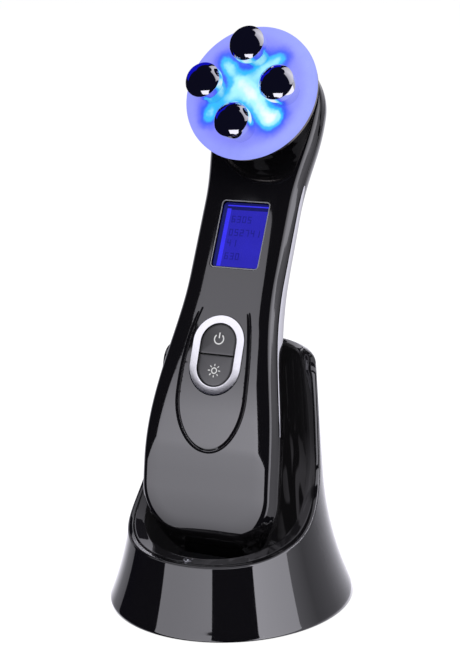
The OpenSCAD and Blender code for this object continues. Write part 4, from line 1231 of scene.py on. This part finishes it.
def paintedLightCupMaterial():
    # gloss black with a faint painted glow that lifts its shaded black, and soft patches of painted
    # reflection low down towards +X
    m = glossBlack("cup black with painted light")
    tree = m.node_tree
    point = objectPoint(tree)
    values = {"Vector": point, "Scale": cupPaintedLight["size"], "Location": cupPaintedLight["shift"]}
    stretch = addNode(tree, "Mapping", values)
    noise = noiseAt(tree, stretch.outputs["Vector"], 1.0, 1.5, {"Distortion": 1.4})
    value = remap(tree, noise, cupPaintedLight["from"], cupPaintedLight["to"], 0.0, cupPaintedLight["soft"], "SMOOTHSTEP")
    split = addNode(tree, "SeparateXYZ", {0: point})
    height = remap(tree, split.outputs["Z"], cupPaintedLight["low"], cupPaintedLight["high"], 1.0, 0.0)
    side = remap(tree, split.outputs["X"], cupPaintedLight["left"], cupPaintedLight["right"], 0.0, 1.0)
    value = calc(tree, "MULTIPLY", calc(tree, "MULTIPLY", value, height), side)
    shader = next(n for n in tree.nodes if n.type == "BSDF_PRINCIPLED")
    # the painted glow and the painted reflection patches go in as emission
    tree.links.new(calc(tree, "ADD", value, cupPaintedLight["base"]), shader.inputs["Emission Strength"])
    shader.inputs["Emission Color"].default_value = cupPaintedLight["tint"]
    return m


# round hole in the back of the skirt, in front of the power inlet
inlet = {"z": 7.0, "r": 3.0, "round": 0.25, "inner": 38.15, "halfSpan": 8.0, "step": 0.7, "clear": 0.35,
         "border": 0.3, "around": 64}


def cutInlet(verts, faces, angles, rowLow, rowHigh):
    # replaces a window of the skirt's grid by the same surface with the hole in it
    n, m = len(angles), inlet["around"]
    r = inlet["r"] + inlet["round"]
    scale = outerR(inlet["z"])
    mid = min(range(n), key=lambda i: abs(angles[i] - math.pi / 2))
    reach = 1
    while (angles[mid + reach] - math.pi / 2) * scale < inlet["halfSpan"]:
        reach += 1
    c0, c1 = mid - reach, mid + reach
    loop = [(rowLow, c) for c in range(c0, c1)] + [(k, c1) for k in range(rowLow, rowHigh)]
    loop += [(rowHigh, c) for c in range(c1, c0, -1)] + [(k, c0) for k in range(rowHigh, rowLow, -1)]

    def inWindow(f):
        return all(rowLow <= v // n <= rowHigh and c0 <= v % n <= c1 for v in f)

    keep = [f for f in faces if not inWindow(f)]
    # the window laid flat: its border, the hole and an even field in between
    source = [k * n + c for k, c in loop]
    patch = [((angles[c] - math.pi / 2) * scale, verts[k * n + c][2]) for k, c in loop]
    edge = len(patch)
    circle = [(math.cos(math.tau * k / m), math.sin(math.tau * k / m)) for k in range(m)]
    flat = patch + [(r * x, inlet["z"] + r * z) for x, z in circle]
    border = [(i, (i + 1) % edge) for i in range(edge)]
    border += [(edge + k, edge + (k + 1) % m) for k in range(m)]
    low, high = min(p[1] for p in patch), max(p[1] for p in patch)
    span = max(p[0] for p in patch)
    steps = int(2 * span / inlet["step"])
    for i in range(1, steps):
        for j in range(1, int((high - low) / inlet["step"])):
            x, z = -span + 2 * span * i / steps, low + inlet["step"] * j
            inField = low + inlet["border"] < z < high - inlet["border"]
            if inField and math.hypot(x, z - inlet["z"]) > r + inlet["clear"]:
                flat.append((x, z))
    done = delaunay_2d_cdt([Vector(p) for p in flat], border, [], 0, 1e-5)
    points, triangles, origin = done[0], done[2], done[3]

    def onSkirt(x, z):
        a = math.pi / 2 + x / scale
        return (outerR(z) * math.cos(a), outerR(z) * math.sin(a), z)

    verts = list(verts)
    normals = [(0, 0, 0)] * len(verts)
    index, rim = {}, {}
    for i, p in enumerate(points):
        first = next((o for o in origin[i] if o < edge), None)
        if first is not None:
            index[i] = source[first]
            continue
        index[i] = len(verts)
        rim.update({o - edge: len(verts) for o in origin[i] if edge <= o < edge + m})
        verts.append(onSkirt(p.x, p.y))
        a = math.pi / 2 + p.x / scale
        slope = (outerR(p.y + 0.05) - outerR(p.y - 0.05)) / 0.1
        normals.append((math.cos(a), math.sin(a), -slope))
    for t in triangles:
        middle = sum((points[i] for i in t), Vector((0, 0))) / 3
        if math.hypot(middle.x, middle.y - inlet["z"]) < r * 0.999 or not pointIn(patch, middle.x, middle.y):
            continue
        face = tuple(index[i] for i in t)
        a, b, c = (Vector(verts[i]) for i in face)
        keep.append(face if (b - a).cross(c - a).y > 0 else face[::-1])
    # the rounded lip of the hole, then its wall
    last = [rim[k] for k in range(m)]
    for turn in (30, 60, 90, 180):
        bend = math.radians(min(turn, 90))
        q = inlet["r"] + inlet["round"] * (1 - math.sin(bend))
        row = list(range(len(verts), len(verts) + m))
        for x, z in circle:
            lip = onSkirt(r * x, inlet["z"] + r * z)[1] - inlet["round"] * (1 - math.cos(bend))
            verts.append((-q * x, inlet["inner"] if turn == 180 else lip, inlet["z"] + q * z))
            normals.append((0, 0, 0))
        for k in range(m):
            j = (k + 1) % m
            face = (last[k], last[j], row[j], row[k])
            a, b, c = (Vector(verts[i]) for i in face[:3])
            turned = (b - a).cross(c - a)
            inward = Vector((-a.x, 0, inlet["z"] - a.z))
            keep.append(face if turned.dot(inward) > 0 or turned.y > 0 and turn == 30 else face[::-1])
        last = row
    return verts, keep, normals


def spread(p, a):
    # a point (r, z) at an angle round the stand
    return (p[0] * math.cos(a), p[0] * math.sin(a), p[1])


def slopeOf(ends, angles, i):
    # steepness of one edge of the rim, as height over distance round the stand
    j = (i + 1) % len(angles)
    p, q = Vector(spread(ends[j], angles[j])), Vector(spread(ends[i - 1], angles[i - 1]))
    return abs(p.z - q.z) / max(math.hypot(p.x - q.x, p.y - q.y), 1e-6)


def turnSize(size, slope, length, width, share):
    # how far a rounding of the rim reaches down its side and across the rim
    down = min(size * math.sqrt(1 + slope ** 2), 0.3 * length)
    across = min(down, share * width)
    return min(down, 3.0 * across + 0.02), across


def rimColumns(angles):
    # for each angle the outside with its half of the rim, and the inside with the other half
    cuts = [(cutAt(outerSide, math.sin(a)), cutAt(innerSide[::-1], math.sin(a))) for a in angles]
    ends = [[c[0][-1] for c in cuts], [c[1][-1] for c in cuts]]
    seam = skirt["seamAt"]
    dense = [1 - (1 - k / 44) ** 1.5 for k in range(45)]
    columns = []
    for i, a in enumerate(angles):
        outPts, inPts = cuts[i]
        lip, brim = outPts[-1], inPts[-1]
        width = math.dist(lip, brim)
        lengthOut, lengthIn = pathLength(outPts), pathLength(inPts)
        slopeOut, slopeIn = slopeOf(ends[0], angles, i), slopeOf(ends[1], angles, i)
        downOut, acrossOut = turnSize(skirt["edge"], slopeOut, lengthOut, width, skirt["edgeShare"])
        downIn, acrossIn = turnSize(skirt["innerEdge"], slopeIn, lengthIn, width, skirt["innerShare"])
        outer = along(outPts, [(lengthOut - downOut) * t for t in dense])
        inner = along(inPts, [(lengthIn - downIn) * t for t in dense])[::-1]
        across = [lip]
        for k in range(1, 24):
            r = lip[0] + (brim[0] - lip[0]) * k / 24
            across.append((r, min(rimHeight(r * math.sin(a)), max(lip[1], brim[1]))) if width > 1e-6 else lip)
        across.append(brim if width > 1e-6 else lip)
        shareOut, shareIn = acrossOut / max(width, 1e-6), acrossIn / max(width, 1e-6)
        spots = [shareOut + (seam - shareOut) * k / 2 for k in range(3)]
        spots += [seam + (1 - shareIn - seam) * k / 5 for k in range(1, 6)]
        total = pathLength(across)
        flat = along(across, [total * t for t in spots])
        columns.append((outer + roundOver(outer[-1], lip, flat[0])[1:-1] + flat[:3],
                        flat[2:] + roundOver(flat[-1], brim, inner[0])[1:-1] + inner))
    return columns


def buildStand():
    angles = azimuths()
    columns = rimColumns(angles)

    def ring(which, k, closer=0.0, lower=0.0):
        return [spread((c[which][k][0] - closer, c[which][k][1] - lower), a) for c, a in zip(columns, angles)]

    deep, gap = skirt["seamDeep"], skirt["seamGap"]
    rows = [[spread((skirt["baseR"] - skirt["skin"], skirt["low"]), a) for a in angles]]
    rows += [ring(0, k) for k in range(len(columns[0][0]))] + [ring(0, -1, lower=deep)]
    verts, faces = grid(rows)
    verts, faces, normals = cutInlet(verts, faces, angles, 1, 6)
    makePiece("standShell", "stand", pianoBlack, stand, verts, faces, normals,
              replaced=["stand_shell"])
    rows = [ring(1, 0, gap, deep), ring(1, 0, gap)] + [ring(1, k) for k in range(1, len(columns[0][1]))]
    verts, faces = grid(rows + [[(0.0, 0.0, skirt["floorZ"])] * len(angles)])
    liner = makePiece("cupLiner", "stand", paintedLightCupMaterial(), stand, verts, faces,
                      replaced=["cup_liner"])
    weld(liner, 0.000002)


buildStand()
print("stand ready")

lamp = {"out": 32.0, "r": 1.2, "bezel": 0.6, "tall": 0.25, "deep": 1.4, "round": 0.18, "dome": 0.2,
        "pipe": 4, "fit": 0.03, "sunk": 0.05}


def buildLamp():
    z, r = skirt["rimZ"], lamp["r"]
    wide, high, low = r + lamp["bezel"], z + lamp["tall"], z - lamp["deep"]
    ring = rounded([(r, low), (r, high), (wide, high), (wide, low)], lamp["round"], 5)
    verts, faces = lathe(ring, 64, (0, -lamp["out"]))
    makePiece("lightBezel", "stand", brightMetal, stand, verts, faces,
              replaced=["light_bezel"])
    r, low = r - lamp["fit"], z - lamp["sunk"]
    dome = [(r, z - lamp["pipe"]), (r, low)]
    for a in quarter(8, 1):
        dome.append((max(0.001, r * math.cos(a)), low + lamp["dome"] * math.sin(a)))
    verts, faces = lathe(dome, 48, (0, -lamp["out"]))
    makePiece("chargeLight", "stand", chargePipe, stand, verts, faces, replaced=["charge_led"])


buildLamp()

# coil springs of the contact pins: round wire with closed end turns
coil = {"wire": 0.2, "length": 4.3, "endTurns": 0.8, "openTurns": 3.6, "pitch": 2.1, "perTurn": 24,
        "around": 8, "travel": 1.2}


def coilRise(t):
    # height of the wire's middle after t turns, over its start
    w, ends, middle = coil["wire"], coil["endTurns"], coil["openTurns"]
    closed = ends * coil["pitch"] * w
    opened = coil["length"] - 2 * w - 2 * closed
    up = min(t, ends) / ends * closed
    up += max(0.0, min(t - ends, middle)) / middle * opened
    return up + max(0.0, t - ends - middle) / ends * closed


def buildSprings():
    w, n = coil["wire"], coil["around"]
    turns = 2 * coil["endTurns"] + coil["openTurns"]
    steps = int(turns * coil["perTurn"])
    for word in ("left", "right"):
        node = "pin_spring_" + word
        low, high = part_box(node)
        centre = (Vector(low) + Vector(high)) / 2
        local = Matrix.Translation(centre / mm) @ handset.to_3x3().normalized().to_4x4()
        radius = (high[0] - low[0]) / 2 / mm - w
        rows = []
        for k in range(steps + 1):
            t = turns * k / steps
            a = math.tau * t
            z = coilRise(t) - coil["length"] / 2 + w
            row = []
            for j in range(n):
                b = math.tau * j / n
                q = radius + w * math.cos(b)
                row.append((q * math.cos(a), q * math.sin(a), z + w * math.sin(b)))
            rows.append(row)
        verts, faces = grid(rows)
        faces += [tuple(range(n))[::-1], tuple(range(steps * n, steps * n + n))]
        piece = makePiece("pinSpring" + word.capitalize(), "stand", springSteel, local, verts,
                          faces, replaced=[node])
        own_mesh(piece)


buildSprings()
print("springs ready")

# pieces that keep their own shape: finish and width of their soft edges
finishes = {
    "contact_seat": (satinBlack, 0.35), "contact_board": (boardGreen, 0.08),
    "contact_pin_left": (gold, 0.2), "contact_pin_right": (gold, 0.2), "charge_contacts": (gold, 0.12),
    "dc_jack": (satinBlack, 0.2), "ballast_ring": (castIron, 0.3), "base_plate": (satinBlack, 0.25),
    "base_screws": (steel, 0.12), "foot_pad": (padRubber, 0.3), "case_screws": (steel, 0.12),
    "lcd_backlight": (whitePlastic, 0.1), "lcd_holder": (whitePlastic, 0.1),
    "power_stem": (whitePlastic, 0.15), "select_stem": (whitePlastic, 0.15),
    "switch_bodies": (satinBlack, 0.15), "key_board": (boardGreen, 0.08), "main_board": (boardGreen, 0.1),
    "battery": (foil, 0.5), "collar_screws": (steel, 0.1), "led_board": (boardGreen, 0.08),
    "leds": (lampBody, 0), "electrode_nuts": (steel, 0.1),
}
for node, (material, soft) in finishes.items():
    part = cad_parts[node]
    part.data.materials.clear()
    part.data.materials.append(material)
    if soft:
        mod = part.modifiers.new("soft edges", "BEVEL")
        mod.width = soft * mm
        mod.segments = 3
        mod.limit_method = "ANGLE"
        mod.angle_limit = math.radians(40)
        mod.use_clamp_overlap = True
        mod.harden_normals = True
print("small pieces ready")

studio = {"floorGlow": 0.885, "floorShade": 0.3, "floorOther": 0.8, "floorSize": 4.0,
          "background": 1.0, "gloss": 0.008, "glossTint": (0.5, 0.5, 1.5), "fill": 0.35}


def pickByRay(tree, ray, otherwise, seen):
    # one shader for a kind of ray and another for the rest
    path = addNode(tree, "LightPath").outputs[ray]
    return addNode(tree, "MixShader", {"Fac": path, 1: otherwise, 2: seen}).outputs[0]


def grey(value):
    return (value, value, value, 1)


def buildStudio():
    world = bpy.data.worlds.new("studio")
    bpy.context.scene.world = world
    world.use_nodes = True
    tree = world.node_tree
    tree.nodes.clear()
    fill, gloss, seen = (
        addNode(tree, "Background", {"Color": (*tint, 1), "Strength": studio[key]}).outputs[0]
        for key, tint in (("fill", (1, 1, 1)), ("gloss", studio["glossTint"]), ("background", (1, 1, 1))))
    lit = pickByRay(tree, "Is Glossy Ray", fill, gloss)
    addNode(tree, "OutputWorld", {"Surface": pickByRay(tree, "Is Camera Ray", lit, seen)})

    bm = bmesh.new()
    bmesh.ops.create_grid(bm, x_segments=2, y_segments=2, size=studio["floorSize"])
    mesh = bpy.data.meshes.new("studioFloor")
    bm.to_mesh(mesh)
    bm.free()
    floor = addObject("studioFloor", mesh)
    floor.visible_glossy = False
    m, tree = newMaterial("studio floor")
    plain = addNode(tree, "BsdfDiffuse", {"Color": grey(studio["floorOther"])}).outputs[0]
    shade = addNode(tree, "BsdfDiffuse", {"Color": grey(studio["floorShade"])}).outputs[0]
    glow = addNode(tree, "Emission", {"Strength": studio["floorGlow"]}).outputs[0]
    seen = addNode(tree, "AddShader", {0: shade, 1: glow}).outputs[0]
    addNode(tree, "OutputMaterial", {"Surface": pickByRay(tree, "Is Camera Ray", plain, seen)})
    mesh.materials.append(m)


buildStudio()

# which pieces see which cards in their reflections
viewers = {
    "domes": ["electrodeTop", "electrodeRight", "electrodeBottom", "electrodeLeft"],
    "lowDomes": ["electrodeRight", "electrodeBottom", "electrodeLeft"],
    "cup": ["cupLiner", "lightBezel", "chargeLight"],
    "ring": ["buttonRing"],
    "handset": ["frontShell", "rearShell", "powerButton", "selectButton", "headCollar", "trimRing",
                "displayFrame"],
    "strips": ["sideStripRight", "sideStripLeft"],
    "stand": ["standShell"],
}
lookers = {}
for name, pieces in viewers.items():
    lookers[name] = bpy.data.collections.new("seen by the " + name)
    for piece in pieces:
        lookers[name].objects.link(bpy.data.objects[piece])
bpy.data.objects["headLens"].light_linking.receiver_collection = lookers["domes"]


def upright(low, high, left, glowLeft, right, glowRight):
    # levels of a card that is the same from its bottom to its top
    return [(z, left, glowLeft, right, glowRight) for z in (low, high)]


# glowing cards on a cylinder round the object: levels of height, left azimuth in degrees from the front
# towards +X and its glow, right azimuth and its glow
cards = {
    "faceCard": ("handset", [
        (-0.35, -42, 0.8, -2, 1.4), (-0.15, -42, 1.1, -2, 2.1), (0.0, -42, 2.3, -2, 3.3),
        (0.05, -40, 2.4, -3, 3.3), (0.1, -35, 2.7, -12, 3.4), (0.12, -32.5, 2.9, -17.5, 4.1),
        (0.2, -32, 2.8, -19, 4.1), (0.3, -32, 2.1, -21, 2.75), (0.4, -32, 1.9, -21, 2.15),
        (0.44, -33.5, 1.9, -21, 2.1), (0.49, -36.8, 1.85, -22, 1.95), (0.53, -37.4, 1.8, -24.5, 1.85),
        (0.57, -37.6, 1.7, -25.5, 1.75), (0.6, -37.2, 1.6, -30, 1.6), (0.612, -36.5, 1.5, -32, 1.5)]),
    "edgeCard": ("handset", [
        (-0.35, 50, 2.0, 74, 2.4), (0.05, 50, 2.0, 80, 3.6), (0.12, 52, 2.0, 91, 3.8),
        (0.19, 58, 1.8, 100, 3.3), (0.23, 62, 1.8, 107, 3.5), (0.3, 64, 1.6, 113, 3.3),
        (0.5, 66, 1.0, 122, 2.6)]),
    "dimCard": ("handset", [
        (-0.35, 74, 0.9, 120, 0.6), (0.05, 80, 1.0, 120, 0.6), (0.12, 91, 1.1, 121, 0.6),
        (0.19, 100, 1.1, 122, 0.6), (0.23, 107, 1.1, 123, 0.6), (0.3, 113, 1.1, 124, 0.6),
        (0.5, 122, 0.9, 130, 0.5)]),
    "sideCard": ("handset", [(-0.4, 124, 0.4, 180, 0.75), (0.5, 132, 0.4, 180, 0.75)]),
    "leftCard": ("handset", upright(-0.4, 0.5, 180, 0.75, 262, 0.4)),
    "ringCard": ("ring", upright(0.3, 1.2, -60, 1.2, 40, 1.2)),
    "stripFront": ("strips", upright(0.25, 0.9, -80, 1.25, 50, 1.25)),
    "stripMid": ("strips", [(-0.2, 50, 0.55, 120, 0.7), (0.9, 50, 0.4, 120, 0.6)]),
    "stripSide": ("strips", upright(-0.2, 0.9, 120, 0.95, 168, 0.7)),
    "stripBack": ("strips", upright(-0.2, 0.9, 168, 0.68, 200, 0.45)),
    "frontBand": ("stand", upright(-1.5, 0.15, -44.4, 2.3, 8, 2.85)),
    "rightBand": ("stand", [(-1.5, 49, 4.4, 88, 3.5), (0.2, 49, 4.4, 88, 3.5), (0.25, 47, 4.4, 104, 4.4),
                            (0.65, 44, 3.8, 108, 3.8)]),
    "rightDim": ("stand", upright(-1.5, 0.3, 88, 1.1, 108, 0.52)),
    "rightBack": ("stand", upright(-1.5, 0.4, 108, 0.52, 132, 0.6)),
    "backBand": ("stand", [(-1.5, 132, 0.6, 228, 1.6), (0.34, 132, 0.6, 228, 1.6),
                           (0.9, 132, 0.3, 228, 0.6)]),
    "leftBand": ("stand", upright(-1.5, 0.34, 228, 1.6, 252, 0.5)),
    "leftDim": ("stand", upright(-1.5, 0.34, 252, 0.5, 265.5, 0.45)),
    "rimFront": ("stand", upright(0.2, 0.4, -75, 0.9, 49, 2.8)),
    "rimGlow": ("stand", upright(0.2, 0.48, 180, 0.25, 240, 0.45)),
    "cupRim": ("cup", [(0.3, 205, 1.2, 255, 1.4), (0.5, 205, 1.2, 255, 1.2)]),
    "cupFront": ("cup", upright(0.02, 0.16, -60, 0.5, -10, 0.8)),
    "domeSide": ("domes", [(0.24, 88, 0.42, 128, 0.85), (0.42, 88, 0.42, 128, 0.85),
                           (1.2, 92, 0.45, 140, 0.6)]),
    "domeSideFar": ("domes", [(0.19, 128, 0.85, 182, 0.5), (0.42, 128, 0.9, 182, 0.6),
                              (1.2, 140, 0.6, 182, 0.45)]),
    "domeLow": ("domes", upright(-0.6, 0.18, 139, 1.15, 147, 1.15)),
    "domeLowFar": ("domes", upright(-0.6, 0.18, 147, 0.5, 230, 0.42)),
    "domeBlue": ("lowDomes", upright(0.22, 0.75, 195, 0.5, 265, 0.5)),
}


cardLook = {"white": (0.93, 0.915, 1.0, 1), "blue": (0.005, 0.005, 1.0, 1), "radius": 0.484, "apart": 0.004,
            "stepAngle": 2.5}


def glowCard(name, rows, seenBy):
    # a card of rows of points with their glow, seen only in reflections by some of the pieces
    n = len(rows[0])
    verts = [p for row in rows for p, _ in row]
    faces = [(k * n + i, k * n + i + 1, (k + 1) * n + i + 1, (k + 1) * n + i)
             for k in range(len(rows) - 1) for i in range(n - 1)]
    mesh = bpy.data.meshes.new(name)
    mesh.from_pydata(verts, [], faces)
    glows = mesh.attributes.new("glow", "FLOAT", "POINT")
    glows.data.foreach_set("value", [g for row in rows for _, g in row])
    card = addObject(name, mesh)
    m, tree = newMaterial(name)
    strength = addNode(tree, "Attribute", attribute_name="glow").outputs["Fac"]
    colour = cardLook["blue" if "Blue" in name else "white"]
    glow = addNode(tree, "Emission", {"Color": colour, "Strength": strength}).outputs[0]
    clear = addNode(tree, "BsdfTransparent").outputs[0]
    both = addNode(tree, "AddShader", {0: glow, 1: clear}).outputs[0]
    addNode(tree, "OutputMaterial", {"Surface": both})
    mesh.materials.append(m)
    card.visible_camera = False
    card.visible_shadow = False
    card.visible_diffuse = False
    card.visible_transmission = False
    card.light_linking.receiver_collection = lookers[seenBy]


def onCircle(radius, azimuth, z):
    a = math.radians(azimuth - 90)
    return (radius * math.cos(a), radius * math.sin(a), z)


def wallCard(name, seenBy, levels):
    # each set has a radius of its own, as cards at one place would hide each other
    radius = cardLook["radius"] + cardLook["apart"] * list(viewers).index(seenBy)
    steps = max(8, math.ceil((levels[0][3] - levels[0][1]) / cardLook["stepAngle"]))
    rows = []
    for z, left, glowLeft, right, glowRight in levels:
        rows.append([(onCircle(radius, left + (right - left) * k / steps, z),
                      glowLeft + (glowRight - glowLeft) * k / steps) for k in range(steps + 1)])
    glowCard(name, rows, seenBy)


def flatCard(name, seenBy, left, right, near, far, z, glow):
    # a level card, as a sector of a ring
    rows = [[(onCircle(r, left + (right - left) * k / 24, z), glow) for k in range(25)] for r in (near, far)]
    glowCard(name, rows, seenBy)


for name, (seenBy, levels) in cards.items():
    wallCard(name, seenBy, levels)
flatCard("domeFloor", "domes", -12, 52, 0.1, 0.26, 0.002, 1.15)
flatCard("standTop", "stand", 0, 360, 0.01, 0.7, 0.9, 0.9)
flatCard("cupTop", "cup", 0, 360, 0.01, 0.7, 0.91, 0.6)


fillLight = {"spot": (0.2, -0.5, 1.4), "target": (0, 0, 0.08), "size": 1.2, "power": 14}


def buildLight():
    data = bpy.data.lights.new("fillTop", "AREA")
    data.shape = "RECTANGLE"
    data.size = data.size_y = fillLight["size"]
    data.energy = fillLight["power"]
    fill = addObject("fillTop", data)
    fill.location = fillLight["spot"]
    aim = Vector(fillLight["target"]) - Vector(fillLight["spot"])
    fill.rotation_euler = aim.to_track_quat("-Z", "Y").to_euler()
    fill.visible_glossy = False


buildLight()

view = {"place": (0.278279, -0.547717, 0.272207), "lens": 99.856, "sensor": 36, "near": 0.01,
        "right": (0.89786, 0.43870, -0.03736), "up": (-0.08729, 0.26053, 0.96151),
        "back": (0.43155, -0.86004, 0.27221)}
cameraData = bpy.data.cameras.new("camera")
cameraData.sensor_width = view["sensor"]
cameraData.lens = view["lens"]
cameraData.clip_start = view["near"]
camera = addObject("camera", cameraData)
axes = Matrix((view["right"], view["up"], view["back"])).transposed()
camera.matrix_world = Matrix.Translation(view["place"]) @ axes.to_4x4()
bpy.context.scene.camera = camera
bpy.context.scene.view_settings.view_transform = "Standard"
print("camera ready")
